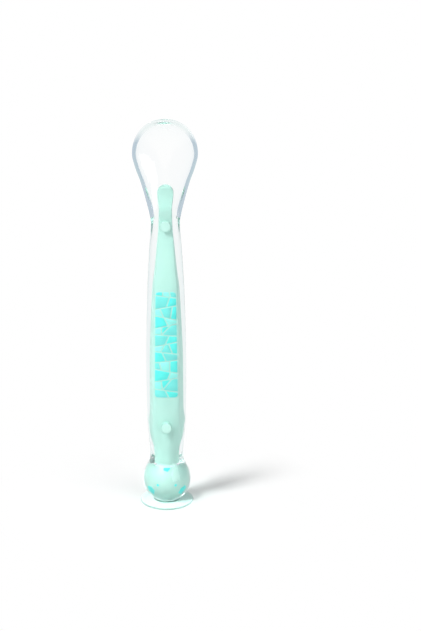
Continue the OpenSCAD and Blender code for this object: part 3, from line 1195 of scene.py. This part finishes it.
@dataclass(frozen=True)
class MouldedPlastic:
    """Satin moulded plastic or opaque ink, with a drifting shade.

    Attributes:
        name: The material's name.
        main: Main shade.
        second: Second shade that the first drifts to.
        low_roughness: Roughness where it is glossiest.
        high_roughness: Roughness where it is dullest.
        wave_scale: Scale of the surface's faint waves.
        wave_depth: How strongly it waves.
        mottle_scale: Scale of the drift.
        ior: How strongly its surface mirrors.
        crown: Radius of the faint curve from side to side that the light shows, in metres.
        crown_from: Height above which that curve comes in, in metres.
        painted_shade_from: Height above which the colour is darkened as painted shade, in metres.
        painted_shade_level: Share of the colour that the painted shade leaves.
        fade: Height over which the curve and the painted shade come in, in metres.
    """

    name: str
    main: Colour
    second: Colour
    low_roughness: float = 0.3
    high_roughness: float = 0.42
    wave_scale: float = 220.0
    wave_depth: float = 0.05
    mottle_scale: float = 110.0
    ior: float = 1.46
    crown: float = 0.023
    crown_from: float = 0.015
    painted_shade_from: float = 1.0
    painted_shade_level: float = 0.83
    fade: float = 0.008

    def material(self, effects: Effects) -> bpy.types.Material:
        """Return the material.

        Args:
            effects: The shared node groups.

        Returns:
            The finished material.
        """
        material, nodes = start_material(self.name)
        surface = nodes.add(
            "ShaderNodeGroup",
            {"node_tree": effects.moulded},
            Scale=self.wave_scale,
            Low_Roughness=self.low_roughness,
            High_Roughness=self.high_roughness,
            Depth=self.wave_depth,
        )
        shade = nodes.add(
            "ShaderNodeGroup",
            {"node_tree": effects.mottled},
            Scale=self.mottle_scale,
            Main=(*self.main, 1),
            Second=(*self.second, 1),
        )
        place = nodes.parts(nodes.place())
        above = nodes.ramp(place["Z"], self.crown_from, self.crown_from + self.fade, Ramp.GENTLE)
        raised = nodes.math("MULTIPLY", nodes.math("MULTIPLY", place["X"], place["X"]), above)
        # A circle falls away from its top by the distance aside, squared, over twice its radius.
        crown = nodes.add(
            "ShaderNodeBump",
            Strength=1.0,
            Distance=1.0,
            Height=nodes.math("MULTIPLY", raised, -1 / (2 * self.crown)),
            Normal=surface.outputs["Normal"],
        )
        # Painted shade: above a height the colour is darkened, so that the paddle, which tilts up
        # towards the key lamp, looks no brighter than the shank.
        painted_shade_mask = nodes.ramp(place["Z"], self.painted_shade_from, self.painted_shade_from + self.fade)
        painted_shade_colour = (*(value * self.painted_shade_level for value in self.main), 1)
        solid = nodes.add(
            "ShaderNodeBsdfPrincipled",
            Base_Color=nodes.blend(painted_shade_mask, shade.outputs["Colour"], painted_shade_colour),
            Roughness=surface.outputs["Roughness"],
            Normal=crown.outputs["Normal"],
            IOR=self.ior,
        )
        nodes.add("ShaderNodeOutputMaterial", Surface=solid.outputs[0])
        return material


# Both silicones are painted with shade where they are seen edge on. The foot's painted shade is
# stronger, and it takes a stronger mint tint with depth.
JACKET_SILICONE = ClearSilicone("clear_silicone")
FOOT_SILICONE = ClearSilicone(
    "foot_silicone", tint=(0.5, 0.82, 0.76), tint_density=260.0, painted_edge_shade=(0.8, 0.88, 0.86)
)
# The core's paddle, above 113 mm, is darkened as painted shade.
MINT_PLASTIC = MouldedPlastic(
    "mint_plastic", main=(0.49, 0.78, 0.70), second=(0.47, 0.765, 0.685), painted_shade_from=0.113
)


class Ink(Enum):
    """The inks of the mosaic, by the letter that the layout uses."""

    BRIGHT = "b"
    MEDIUM = "m"
    PALE = "p"


INK_FINISHES = {
    Ink.BRIGHT: MouldedPlastic("bright_ink", main=(0.10, 0.86, 0.80), second=(0.08, 0.82, 0.77)),
    Ink.MEDIUM: MouldedPlastic("medium_ink", main=(0.18, 0.78, 0.74), second=(0.16, 0.74, 0.70)),
    Ink.PALE: MouldedPlastic("pale_ink", main=(0.32, 0.90, 0.83), second=(0.29, 0.87, 0.80)),
}


def dress(piece: bpy.types.Object, material: bpy.types.Material, slot: str, *nodes: str) -> None:
    """Give a piece its finish, let it ride on the body and stand for its nodes.

    Args:
        piece: The finished object.
        material: Its material.
        slot: The record's material slot for the piece; not used.
        nodes: The nodes of the frame that it stands for.
    """
    piece.data.materials.clear()
    piece.data.materials.append(material)
    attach(piece, "root")
    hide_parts(*nodes)


@dataclass
class SiliconeJacket:
    """The clear moulding: ball, sleeve and bowl in one skin, with the space for the core.

    Attributes:
        sizes: The spoon's sizes.
        skin: Its outer surface.
        core: The core's form, which the inner wall follows.
        floor_columns: Columns from the middle of the front to the start of the rim.
        rim_columns: Columns from there to the side.
        back_columns: Columns from the middle of the back to the side.
        ball_rings: Rings round the ball.
        handle_rings: Rings from the ball to the throat.
        throat_rings: Rings along the throat.
        bowl_rings: Rings from the throat to the widest place.
        tip_steps: Steps of the spin over the tip.
        core_rings: Rings of the inner wall round the ball, along the shank and the paddle.
        core_sides: Points round one of those rings.
        seat_depth: How far the inner wall lies under the core's surface, so that the core shows.
        rim_lead: How far inside the rim its columns start.
        sew_gap: Distance within which the tip's edges are sewn.
    """

    sizes: SpoonSizes
    skin: Skin
    core: CoreForm
    floor_columns: int = 14
    rim_columns: int = 22
    back_columns: int = 24
    ball_rings: int = 36
    handle_rings: int = 70
    throat_rings: int = 30
    bowl_rings: int = 26
    tip_steps: int = 64
    core_rings: tuple[int, int, int] = (24, 70, 14)
    core_sides: int = 64
    seat_depth: float = 0.03
    rim_lead: float = 1.1
    sew_gap: float = 0.01

    def _front_shares(self, z: float) -> list[float]:
        """Return the front's columns from the middle to a side, as shares of the half width.

        Args:
            z: The height.

        Returns:
            The shares from 0 to 1: even round the handle, crowded on the rim of the bowl.
        """
        s = self.sizes
        count = self.floor_columns + self.rim_columns
        half = self.skin.half_width(z)
        start = (half - s.side_wall - self.rim_lead) / half
        blend = ease((z - s.grip_z) / (s.neck_z - s.grip_z))
        shares = []
        for k in range(count + 1):
            even = math.sin(math.pi / 2 * k / count)
            past = (k - self.floor_columns) / self.rim_columns
            if past < 0:
                crowded = start * k / self.floor_columns
            else:
                crowded = mix(start, 1, math.sin(math.pi / 2 * past))
            shares.append(mix(even, crowded, blend))
        return shares

    def _ring(self, z: float) -> list[Vector]:
        """Return the points of the skin's ring at a height, in millimetres.

        Args:
            z: The height.

        Returns:
            The points: along the front from left to right, then back along the back.
        """
        half = self.skin.half_width(z)
        right = self._front_shares(z)
        front = [-share for share in reversed(right[1:])] + right
        back = [math.sin(math.pi / 2 * k / self.back_columns) for k in range(self.back_columns)]
        behind = list(reversed(back)) + [-share for share in back[1:]]
        skin = self.skin
        points = [Vector((half * share, skin.front_y(half * share, z), z)) for share in front]
        return points + [Vector((half * share, skin.back_y(half * share, z), z)) for share in behind]

    def _heights(self) -> list[float]:
        """Return the heights of the skin's rings.

        Returns:
            The heights in millimetres, from the seat up to the widest place.
        """
        s = self.sizes
        low = math.asin(s.seat_r / s.ball_r)
        top = math.pi - math.asin(s.waist_w / 2 / s.ball_r) + s.ball_blend / s.ball_d
        ball = [
            s.ball_z - s.ball_r * math.cos(mix(low, top, i / self.ball_rings))
            for i in range(self.ball_rings + 1)
        ]
        stretches = (
            (ball[-1], s.throat_z, self.handle_rings),
            (s.throat_z, s.throat_top_z, self.throat_rings),
            (s.throat_top_z, s.widest_z, self.bowl_rings),
        )
        rest = [mix(low_z, high_z, i / n) for low_z, high_z, n in stretches for i in range(1, n + 1)]
        return ball + rest

    def _spin_tip(self, piece: bpy.types.Object) -> None:
        """Spin the right half of the last ring over the tip, and sew it to the left half.

        Args:
            piece: The skin in edit mode.
        """
        near = NEAR * MM
        top = self.sizes.widest_z * MM
        Selection.vertices(piece, lambda vertex: vertex.co.z > top - near and vertex.co.x > -near)
        bpy.ops.mesh.spin(steps=self.tip_steps, angle=math.pi, center=(0, 0, top), axis=(0, 1, 0))
        bpy.ops.mesh.select_all(action="SELECT")
        bpy.ops.mesh.remove_doubles(threshold=self.sew_gap * MM)

    def _into_tip(self, place: Vector) -> Vector:
        """Return where a place on the round tip lies in the bowl's outline and surfaces.

        Args:
            place: The place in metres.

        Returns:
            The new place, or the same one where it lies below the tip.
        """
        s = self.sizes
        x, y, up = place.x / MM, place.y / MM, place.z / MM - s.widest_z
        if up < NEAR:
            return place
        reach = math.hypot(x, up)
        middle = (self.skin.front_y(reach, s.widest_z) + self.skin.back_y(reach, s.widest_z)) / 2
        surface = self.skin.front_y if y < middle else self.skin.back_y
        across = math.copysign(abs(x / reach) ** (2 / TIP_POWER), x) * reach
        along = (up / reach) ** (2 / TIP_POWER) * reach * s.tip_len / (s.bowl_w / 2)
        z = s.widest_z + min(along, s.tip_len)
        return Vector((across, surface(across, z), z)) * MM

    def _outside(self) -> bpy.types.Object:
        """Model the outer skin.

        Returns:
            The skin, closed and smooth.
        """
        modeller = RingModeller("clear_jacket", [self._ring(z) for z in self._heights()])
        modeller.select_first()
        bpy.ops.mesh.edge_face_add()
        self._spin_tip(modeller.piece)
        Selection.move(modeller.piece, self._into_tip)
        return modeller.finish()

    def _inside(self) -> bpy.types.Object:
        """Return the inner wall that the core lies against, with its faces turned inwards."""
        wall = core_skin("inner_wall", self.core, self.core_rings, self.core_sides, self.seat_depth)
        return wall.finish(inside=True)

    def build(self, effects: Effects) -> bpy.types.Object:
        """Model and dress the jacket.

        Args:
            effects: The shared node groups.

        Returns:
            The finished piece.
        """
        piece = join([self._outside(), self._inside()], "clear_jacket")
        dress(piece, JACKET_SILICONE.material(effects), "clear_silicone", "silicone_jacket")
        return piece


@dataclass
class CoreInsert:
    """The rigid core with the studs that held it in its mould.

    Attributes:
        sizes: The spoon's sizes.
        core: Its form.
        skin: The jacket's outer surface, which the studs reach.
        rings: Rings round the ball, along the shank and along the paddle.
        sides: Points round one of those rings.
        stud_sides: Points round a stud.
        stud_round: Radius of a stud's softened ends.
        round_steps: Steps of that softening.
    """

    sizes: SpoonSizes
    core: CoreForm
    skin: Skin
    rings: tuple[int, int, int] = (24, 90, 16)
    sides: int = 64
    stud_sides: int = 48
    stud_round: float = 0.25
    round_steps: int = 4

    def _stud(self, z: float) -> bpy.types.Object:
        """Return one stud, right through the core, with softened ends.

        Args:
            z: The stud's height.

        Returns:
            The stud.
        """
        s = self.sizes
        front = self.skin.front_y(0, z) - s.stud_proud
        back = self.skin.back_y(0, z) + s.stud_proud
        Selection.nothing()
        bpy.ops.mesh.primitive_cylinder_add(
            vertices=self.stud_sides,
            radius=s.stud_d / 2 * MM,
            depth=(back - front) * MM,
            location=(0, (front + back) / 2 * MM, z * MM),
            rotation=(math.pi / 2, 0, 0),
        )
        piece = bpy.context.active_object
        bpy.ops.object.transform_apply(location=True, rotation=True, scale=True)
        Selection.whole_mesh()
        bpy.ops.mesh.bevel(offset=self.stud_round * MM, segments=self.round_steps)
        # The faces point outwards already. Recalculated as in settle, they would point inwards.
        bpy.ops.object.mode_set(mode="OBJECT")
        bpy.ops.object.shade_smooth_by_angle(angle=math.radians(SHARP_ANGLE))
        return piece

    def build(self, effects: Effects) -> bpy.types.Object:
        """Model and dress the core.

        Args:
            effects: The shared node groups.

        Returns:
            The finished piece.
        """
        body = core_skin("core", self.core, self.rings, self.sides).finish()
        studs = [self._stud(z) for z in self.sizes.stud_heights]
        piece = join([body, *studs], "core")
        dress(piece, MINT_PLASTIC.material(effects), "core_plastic", "core_insert")
        return piece


@dataclass
class SuctionFoot:
    """The shallow suction foot, turned about its axis.

    Attributes:
        sizes: The spoon's sizes.
        sides: Points round a ring.
        seat_gap: Distance between its seat and the ball, which keeps the two faces apart.
        hollow_steps: Rings along the hollow.
        curve_steps: Rings round the edge, and again up the collar.
        sharp_angle: Turn in degrees past which one of its edges stays sharp in the shading.
    """

    sizes: SpoonSizes
    sides: int = 128
    seat_gap: float = 0.01
    hollow_steps: int = 16
    curve_steps: int = 14
    sharp_angle: float = 35.0

    def _profile(self) -> list[tuple[float, float]]:
        """Return the half section from just beside the hollow's top round to the seat.

        Returns:
            The radius and the height of each ring, in millimetres.
        """
        s = self.sizes
        foot_r = s.foot_d / 2
        rest_r = foot_r - s.rest_w
        hollow_r = (rest_r**2 + s.suction_h**2) / (2 * s.suction_h)
        wide = math.asin(rest_r / hollow_r)
        hollow = [wide * i / self.hollow_steps for i in range(1, self.hollow_steps + 1)]
        under = [(hollow_r * math.sin(a), s.suction_h - hollow_r * (1 - math.cos(a))) for a in hollow]
        quarter = [math.pi / 2 * i / self.curve_steps for i in range(self.curve_steps + 1)]
        edge_r = s.edge_t / 2
        turns = [2 * a - math.pi / 2 for a in quarter]
        edge = [(foot_r - edge_r + edge_r * math.cos(a), edge_r + edge_r * math.sin(a)) for a in turns]
        collar_r = s.collar_d / 2
        top = s.foot_h - self.seat_gap
        collar = [
            (mix(collar_r, s.seat_r, math.sin(a)), mix(s.collar_z, top, 1 - math.cos(a)))
            for a in quarter
        ]
        return under + edge + collar

    def _ring(self, radius: float, z: float) -> list[Vector]:
        """Return a round ring."""
        turns = [math.tau / self.sides * k for k in range(self.sides)]
        return [Vector((radius * math.sin(turn), -radius * math.cos(turn), z)) for turn in turns]

    def build(self, effects: Effects) -> bpy.types.Object:
        """Model and dress the foot.

        Args:
            effects: The shared node groups.

        Returns:
            The finished piece.
        """
        s = self.sizes
        modeller = RingModeller("foot", [self._ring(radius, z) for radius, z in self._profile()])
        seat = Vector((0, 0, s.foot_h - self.seat_gap))
        modeller.close_ends(last=seat, first=Vector((0, 0, s.suction_h)))
        piece = modeller.finish(self.sharp_angle)
        dress(piece, FOOT_SILICONE.material(effects), "foot_silicone", "suction_foot")
        return piece


# The mosaic: bands between slanting lines, each split by steeper lines. A line is its
# height at the left and at the right, as shares of the print's height.
BAND_SHARES = (
    (0, 0), (0.085, 0.055), (0.155, 0.19), (0.275, 0.235), (0.335, 0.36), (0.44, 0.415),
    (0.485, 0.53), (0.6, 0.585), (0.655, 0.7), (0.775, 0.735), (0.835, 0.87), (0.965, 0.94), (1, 1),
)
# A split is its place on the lower and on the upper line, as shares of the width.
SPLIT_SHARES = (
    ((0.62, 0.45),),
    ((0.34, 0.28), (0.34, 0.74)),
    ((0.56, 0.7),),
    ((0.3, 0.2), (0.66, 0.66)),
    ((0.5, 0.32),),
    ((0.24, 0.44), (0.78, 0.62)),
    ((0.46, 0.64),),
    ((0.3, 0.3), (0.3, 0.72)),
    ((0.6, 0.42),),
    ((0.4, 0.22), (0.7, 0.8)),
    ((0.52, 0.68),),
    ((0.36, 0.36), (0.72, 0.66)),
)
# The ink of each band's tiles, from the left.
TILE_INKS = ("mb", "pbm", "bp", "mpb", "bm", "pmb", "mb", "pbm", "bp", "pmb", "mb", "bpm")
# Each ink's piece, its slot and the node that it stands for.
TILE_PIECES = {
    Ink.BRIGHT: ("bright_tiles", "bright_ink", "print_bright"),
    Ink.MEDIUM: ("medium_tiles", "medium_ink", "print_medium"),
    Ink.PALE: ("pale_tiles", "pale_ink", "print_pale"),
}


@dataclass
class Mosaic:
    """The printed mosaic on the core's front: raised tiles of three inks.

    Attributes:
        sizes: The spoon's sizes.
        corner: Radius of a tile's corners.
        corner_steps: Steps round a corner.
        edge: Softening of a tile's upper edge.
        edge_steps: Steps of that softening.
        sunk: How far a tile reaches under the core's surface.
    """

    # Where the middle of a rounded corner lies, as a share of its two sides.
    MIDDLE_SHARE = 0.3

    sizes: SpoonSizes
    corner: float = 0.16
    corner_steps: int = 4
    edge: float = 0.04
    edge_steps: int = 2
    sunk: float = 0.02

    def _point(self, across: float, line: tuple[float, float]) -> Vector:
        """Return a place in the print's plane.

        Args:
            across: Share of the width, from the left.
            line: A line's height at the left and at the right, as shares of the print's.

        Returns:
            The place across and up, in millimetres.
        """
        s = self.sizes
        up = mix(line[0], line[1], across)
        return Vector((mix(s.print_w, s.print_top_w, up) * (across - 0.5), s.print_z + s.print_h * up))

    def _corners(self, band: int, tile: int) -> list[Vector]:
        """Return the corners of one tile before it is drawn in.

        Args:
            band: The tile's band from the bottom.
            tile: Its number from the left.

        Returns:
            Three or four corners, anticlockwise as seen from the front.
        """
        edges = ((0, 0), *SPLIT_SHARES[band], (1, 1))
        low, high = BAND_SHARES[band], BAND_SHARES[band + 1]
        left, right = edges[tile], edges[tile + 1]
        base = [self._point(left[0], low)]
        if left[0] != right[0]:
            base.append(self._point(right[0], low))
        return base + [self._point(right[1], high), self._point(left[1], high)]

    def _drawn_in(self, corners: Sequence[Vector]) -> list[Vector]:
        """Return a convex outline drawn in by half a gap on every side.

        Args:
            corners: The outline's corners, anticlockwise.

        Returns:
            The new corners, in the same order.
        """
        drawn = []
        for i, corner in enumerate(corners):
            before = (corner - corners[i - 1]).normalized()
            after = (corners[(i + 1) % len(corners)] - corner).normalized()
            inward_a = Vector((-before.y, before.x))
            inward_b = Vector((-after.y, after.x))
            step = (inward_a + inward_b) / (1 + inward_a.dot(inward_b))
            drawn.append(corner + step * (self.sizes.tile_gap / 2))
        return drawn

    def _outline(self, corners: Sequence[Vector]) -> list[Vector]:
        """Return a tile's outline, rounded where it is one of the print's own four corners.

        Args:
            corners: The tile's corners before it is drawn in.

        Returns:
            The outline's points, anticlockwise.
        """
        outer = [self._point(across, line) for line in ((0, 0), (1, 1)) for across in (0, 1)]
        drawn = self._drawn_in(corners)
        outline = []
        for i, place in enumerate(drawn):
            if min((corners[i] - corner).length for corner in outer) > self.sizes.ink_t:
                outline.append(place)
                continue
            back = (drawn[i - 1] - place).normalized() * self.sizes.print_round
            ahead = (drawn[(i + 1) % len(drawn)] - place).normalized() * self.sizes.print_round
            outline += [place + back, place + (back + ahead) * self.MIDDLE_SHARE, place + ahead]
        return outline

    def _tile(self, band: int, number: int) -> bpy.types.Object:
        """Return one tile: an outline with round corners, raised and softened.

        Args:
            band: The tile's band from the bottom.
            number: Its number from the left.

        Returns:
            The tile.
        """
        s = self.sizes
        outline = self._outline(self._corners(band, number))
        base_y = self.sunk - s.land_y
        Selection.nothing()
        bpy.ops.mesh.primitive_circle_add(vertices=len(outline), radius=MM, fill_type="NGON")
        piece = bpy.context.active_object
        for vertex, place in zip(piece.data.vertices, outline):
            vertex.co = Vector((place.x, base_y, place.y)) * MM
        Selection.whole_mesh()
        corner, edge = self.corner * MM, self.edge * MM
        bpy.ops.mesh.bevel(affect="VERTICES", offset=corner, segments=self.corner_steps)
        bpy.ops.mesh.select_all(action="SELECT")
        rise = (0, -(s.ink_t + self.sunk) * MM, 0)
        bpy.ops.mesh.extrude_region_move(TRANSFORM_OT_translate={"value": rise})
        bpy.ops.mesh.bevel(affect="EDGES", offset=edge, segments=self.edge_steps)
        settle(SHARP_ANGLE)
        return piece

    def build(self, inks: dict[Ink, bpy.types.Material]) -> list[bpy.types.Object]:
        """Model and dress the tiles, one piece for each ink.

        Args:
            inks: Each ink's material.

        Returns:
            The finished pieces.
        """
        pieces = []
        for ink, (name, slot, node) in TILE_PIECES.items():
            tiles = [
                self._tile(band, number)
                for band, letters in enumerate(TILE_INKS)
                for number, letter in enumerate(letters)
                if letter == ink.value
            ]
            pieces.append(join(tiles, name))
            dress(pieces[-1], inks[ink], slot, node)
        return pieces


# Chips on the core's ball: round from the front and up from the middle in degrees, and
# their size as a share of the largest.
CHIP_PLACES = ((0, 54, 0.72), (-63, -30, 1), (63, -30, 1), (-29, -4, 0.3), (29, -4, 0.3))
# A chip's corners, across and up, as shares of half its size.
CHIP_CORNER_SHARES = ((0.9, 0.1), (0.35, 0.85), (-0.7, 0.6), (-0.8, -0.45), (0.2, -0.9))


@dataclass
class BallChips:
    """Chips of bright ink on the core's ball, each curved as the ball is.

    Attributes:
        sizes: The spoon's sizes.
        sunk: How far a chip reaches under the core's surface.
        cuts: Cuts in each edge of a chip's triangles, so that it can curve.
    """

    sizes: SpoonSizes
    sunk: float = 0.02
    cuts: int = 5

    @staticmethod
    def _wrap(piece: bpy.types.Object, radius: float) -> None:
        """Lay the selected vertices on a ball about the origin, with its radius in millimetres."""
        Selection.move(piece, lambda place: place.normalized() * radius * MM)

    def _chip(self, azimuth: float, elevation: float, share: float) -> bpy.types.Object:
        """Return one chip.

        Args:
            azimuth: Degrees round from the front.
            elevation: Degrees up from the ball's middle.
            share: Its size as a share of the largest.

        Returns:
            The chip, wrapped onto a ball about the origin.
        """
        s = self.sizes
        a, e = math.radians(azimuth), math.radians(elevation)
        out = Vector((math.sin(a) * math.cos(e), -math.cos(a) * math.cos(e), math.sin(e)))
        right = Vector((math.cos(a), math.sin(a), 0))
        up = out.cross(right)
        radius = s.core_ball_r - self.sunk
        scale = share * s.chip_d / 2
        Selection.nothing()
        sides = len(CHIP_CORNER_SHARES)
        bpy.ops.mesh.primitive_circle_add(vertices=sides, radius=MM, fill_type="TRIFAN")
        piece = bpy.context.active_object
        for vertex, (x, y) in zip(piece.data.vertices, ((0, 0), *CHIP_CORNER_SHARES)):
            vertex.co = (out * radius + (right * x + up * y) * scale) * MM
        Selection.whole_mesh()
        bpy.ops.mesh.subdivide(number_cuts=self.cuts)
        self._wrap(piece, radius)
        bpy.ops.mesh.extrude_region_move()
        self._wrap(piece, s.core_ball_r + s.ink_t)
        settle(SHARP_ANGLE)
        return piece

    def build(self, material: bpy.types.Material) -> bpy.types.Object:
        """Model and dress the chips.

        Args:
            material: Their ink.

        Returns:
            The finished piece.
        """
        piece = join([self._chip(*place) for place in CHIP_PLACES], "chips")
        Selection.only(piece)
        bpy.ops.transform.translate(value=(0, 0, self.sizes.ball_z * MM))
        bpy.ops.object.transform_apply(location=True, rotation=True, scale=True)
        dress(piece, material, "chip_ink", "ball_chips")
        return piece


@dataclass
class Studio:
    """The floor, the surroundings, the lamps and the camera. Its lengths are in metres.

    Attributes:
        focal_px: The lens in pixels of the photograph's frame.
        frame_h_px: Height of that frame.
        sensor: Long side of the sensor in millimetres.
        eye: The camera's place.
        pitch: How far the camera looks down, in degrees.
        sight: The nearest and the farthest that the camera sees.
        floor_size: Side of the floor.
        floor_grey: Share of light that the floor gives back.
        shadow_near: Distance from the spoon within which the floor shows its full shadow.
        shadow_far: Distance at which the floor is plain white.
        white_near: Distance aside from which the floor that the silicone mirrors gets dimmer.
        white_far: Distance aside at which it is as dim as the sides.
        side_colour: What the silicone mirrors at its left and right.
        top_colour: What it mirrors above, before and behind.
        above_colour: What shows through the silicone high up.
        above_range: Rise of a ray's unit step at which that colour starts and at which it is full.
        soft_light: Strength of the even light from all round.
        aim: What the lamps point at.
        key_place: Where the key lamp hangs.
        key_size: Its side.
        key_power: Its power in watts.
        fill_place: Where the fill lamp hangs.
        fill_size: Its side.
        fill_power: Its power in watts.
    """

    focal_px: float = 2800.0
    frame_h_px: float = 631.0
    sensor: float = 36.0
    eye: tuple[float, float, float] = (0.017257, -1.017369, 0.458508)
    pitch: float = 20.5
    sight: tuple[float, float] = (0.01, 50.0)
    floor_size: float = 6.0
    floor_grey: float = 0.92
    shadow_near: float = 0.016
    shadow_far: float = 0.07
    white_near: float = 0.10
    white_far: float = 0.30
    side_colour: Colour = (0.56, 0.64, 0.72)
    top_colour: Colour = (0.55, 0.72, 0.70)
    above_colour: Colour = (0.78, 0.80, 0.77)
    above_range: tuple[float, float] = (0.02, 0.3)
    soft_light: float = 0.39
    aim: tuple[float, float, float] = (0, 0, 0.07)
    key_place: tuple[float, float, float] = (-0.81, -0.59, 1.2)
    key_size: float = 0.3
    key_power: float = 18.8
    fill_place: tuple[float, float, float] = (0.95, -0.85, 0.4)
    fill_size: float = 1.0
    fill_power: float = 8.5

    def camera(self) -> None:
        """Place the camera at the photograph's viewing angle."""
        bpy.ops.object.camera_add(location=self.eye, rotation=(math.radians(90 - self.pitch), 0, 0))
        camera = bpy.context.active_object
        camera.name = "camera"
        camera.data.sensor_width = self.sensor
        camera.data.lens = self.focal_px / self.frame_h_px * self.sensor
        camera.data.clip_start, camera.data.clip_end = self.sight
        bpy.context.scene.camera = camera

    @staticmethod
    def _in_sight(nodes: Nodes) -> bpy.types.NodeSocket:
        """Tell the rays that the eye follows from those that only carry light.

        Args:
            nodes: The finish's nodes.

        Returns:
            1 for a ray that has come straight, mirrored or through the silicone, and else 0.
        """
        path = nodes.add("ShaderNodeLightPath").outputs
        clear = nodes.math("MAXIMUM", path["Is Glossy Ray"], path["Is Transmission Ray"])
        seen = nodes.math("MAXIMUM", path["Is Camera Ray"], clear)
        # The depth is a whole number, so a half parts none from one.
        return nodes.math("MULTIPLY", seen, nodes.math("LESS_THAN", path["Diffuse Depth"], 0.5))

    def floor(self) -> None:
        """Lay the pale floor, which is white to the eye and keeps the spoon's shadow.

        What the silicone mirrors of it far aside is as dim as the surroundings there.
        """
        Selection.nothing()
        bpy.ops.mesh.primitive_plane_add(size=self.floor_size)
        floor = bpy.context.active_object
        floor.name = "floor"
        material, nodes = start_material("pale_floor")
        matt = nodes.add("ShaderNodeBsdfDiffuse", Color=(*[self.floor_grey] * 3, 1))
        white = nodes.add("ShaderNodeEmission", Color=WHITE, Strength=1.0)
        dim = nodes.add("ShaderNodeEmission", Color=(*self.side_colour, 1), Strength=1.0)
        place = nodes.place()
        reach = nodes.add("ShaderNodeVectorMath", {"operation": "LENGTH"})
        nodes.feed(reach, 0, place)
        far = nodes.ramp(reach.outputs["Value"], self.shadow_near, self.shadow_far, Ramp.GENTLE)
        sideways = nodes.math("ABSOLUTE", nodes.parts(place)["X"])
        aside = nodes.ramp(sideways, self.white_near, self.white_far, Ramp.GENTLE)
        path = nodes.add("ShaderNodeLightPath").outputs
        direct = nodes.math("MAXIMUM", path["Is Camera Ray"], path["Is Transmission Ray"])
        mirrored = nodes.math("SUBTRACT", 1.0, direct)
        around = nodes.mix_shaders(nodes.math("MULTIPLY", mirrored, aside), white, dim)
        both = nodes.mix_shaders(nodes.math("MULTIPLY", self._in_sight(nodes), far), matt, around)
        nodes.add("ShaderNodeOutputMaterial", Surface=both.outputs[0])
        floor.data.materials.append(material)

    def world(self) -> None:
        """Make the surroundings, by the way that a ray has come to them.

        They are white to the eye, and white through the silicone too but a little darker high
        up. What the silicone mirrors is dimmer, so that its edges show. All other rays get
        soft light.
        """
        world = bpy.context.scene.world or bpy.data.worlds.new("studio")
        bpy.context.scene.world = world
        world.use_nodes = True
        nodes = Nodes(world.node_tree)
        way = nodes.parts(nodes.add("ShaderNodeTexCoord").outputs["Generated"])
        sideways, high = nodes.math("ABSOLUTE", way["X"]), nodes.ramp(way["Z"], *self.above_range)
        dimmer = nodes.blend(sideways, (*self.top_colour, 1), (*self.side_colour, 1))
        paler = nodes.blend(high, WHITE, (*self.above_colour, 1))
        soft = nodes.add("ShaderNodeBackground", Color=WHITE, Strength=self.soft_light)
        white = nodes.add("ShaderNodeBackground", Color=WHITE, Strength=1.0)
        mirrored = nodes.add("ShaderNodeBackground", Color=dimmer, Strength=1.0)
        through = nodes.add("ShaderNodeBackground", Color=paler, Strength=1.0)
        path = nodes.add("ShaderNodeLightPath").outputs
        bent = nodes.mix_shaders(path["Is Transmission Ray"], mirrored, through)
        seen = nodes.mix_shaders(path["Is Camera Ray"], bent, white)
        both = nodes.mix_shaders(self._in_sight(nodes), soft, seen)
        nodes.add("ShaderNodeOutputWorld", Surface=both.outputs[0])

    def lamp(self, name: str, place: tuple[float, float, float], size: float, power: float) -> None:
        """Hang one soft square lamp, which the silicone mirrors but doesn't show through itself.

        Args:
            name: The lamp's name.
            place: Where it hangs.
            size: Its side.
            power: Its power in watts.
        """
        bpy.ops.object.light_add(type="AREA", location=place)
        lamp = bpy.context.active_object
        lamp.name = name
        lamp.rotation_euler = (Vector(self.aim) - Vector(place)).to_track_quat("-Z", "Y").to_euler()
        lamp.data.size = size
        lamp.data.energy = power
        lamp.visible_transmission = False

    def build(self) -> None:
        """Set up the whole studio."""
        self.camera()
        self.floor()
        self.world()
        self.lamp("key_lamp", self.key_place, self.key_size, self.key_power)
        self.lamp("fill_lamp", self.fill_place, self.fill_size, self.fill_power)
        bpy.context.scene.view_settings.view_transform = "Standard"


def corners(box: tuple[Vector, Vector]) -> list[list[float]]:
    """Return a box's corners as plain lists of numbers."""
    return [[float(value) for value in corner] for corner in box]


def main() -> None:
    """Load the frame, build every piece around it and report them."""
    logging.basicConfig(level=logging.INFO, format="%(message)s")
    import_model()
    Studio().build()
    sizes = SpoonSizes.from_frame()
    skin = Skin(sizes)
    core = CoreForm(sizes, skin)
    effects = Effects()
    inks = {ink: finish.material(effects) for ink, finish in INK_FINISHES.items()}
    pieces = [
        SiliconeJacket(sizes, skin, core).build(effects),
        SuctionFoot(sizes).build(effects),
        CoreInsert(sizes, core, skin).build(effects),
        *Mosaic(sizes).build(inks),
        BallChips(sizes).build(inks[Ink.BRIGHT]),
    ]
    for piece in pieces:
        LOG.info("%s: %d faces", piece.name, len(piece.data.polygons))
    Selection.nothing()
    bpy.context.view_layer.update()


if __name__ == "__main__":
    main()
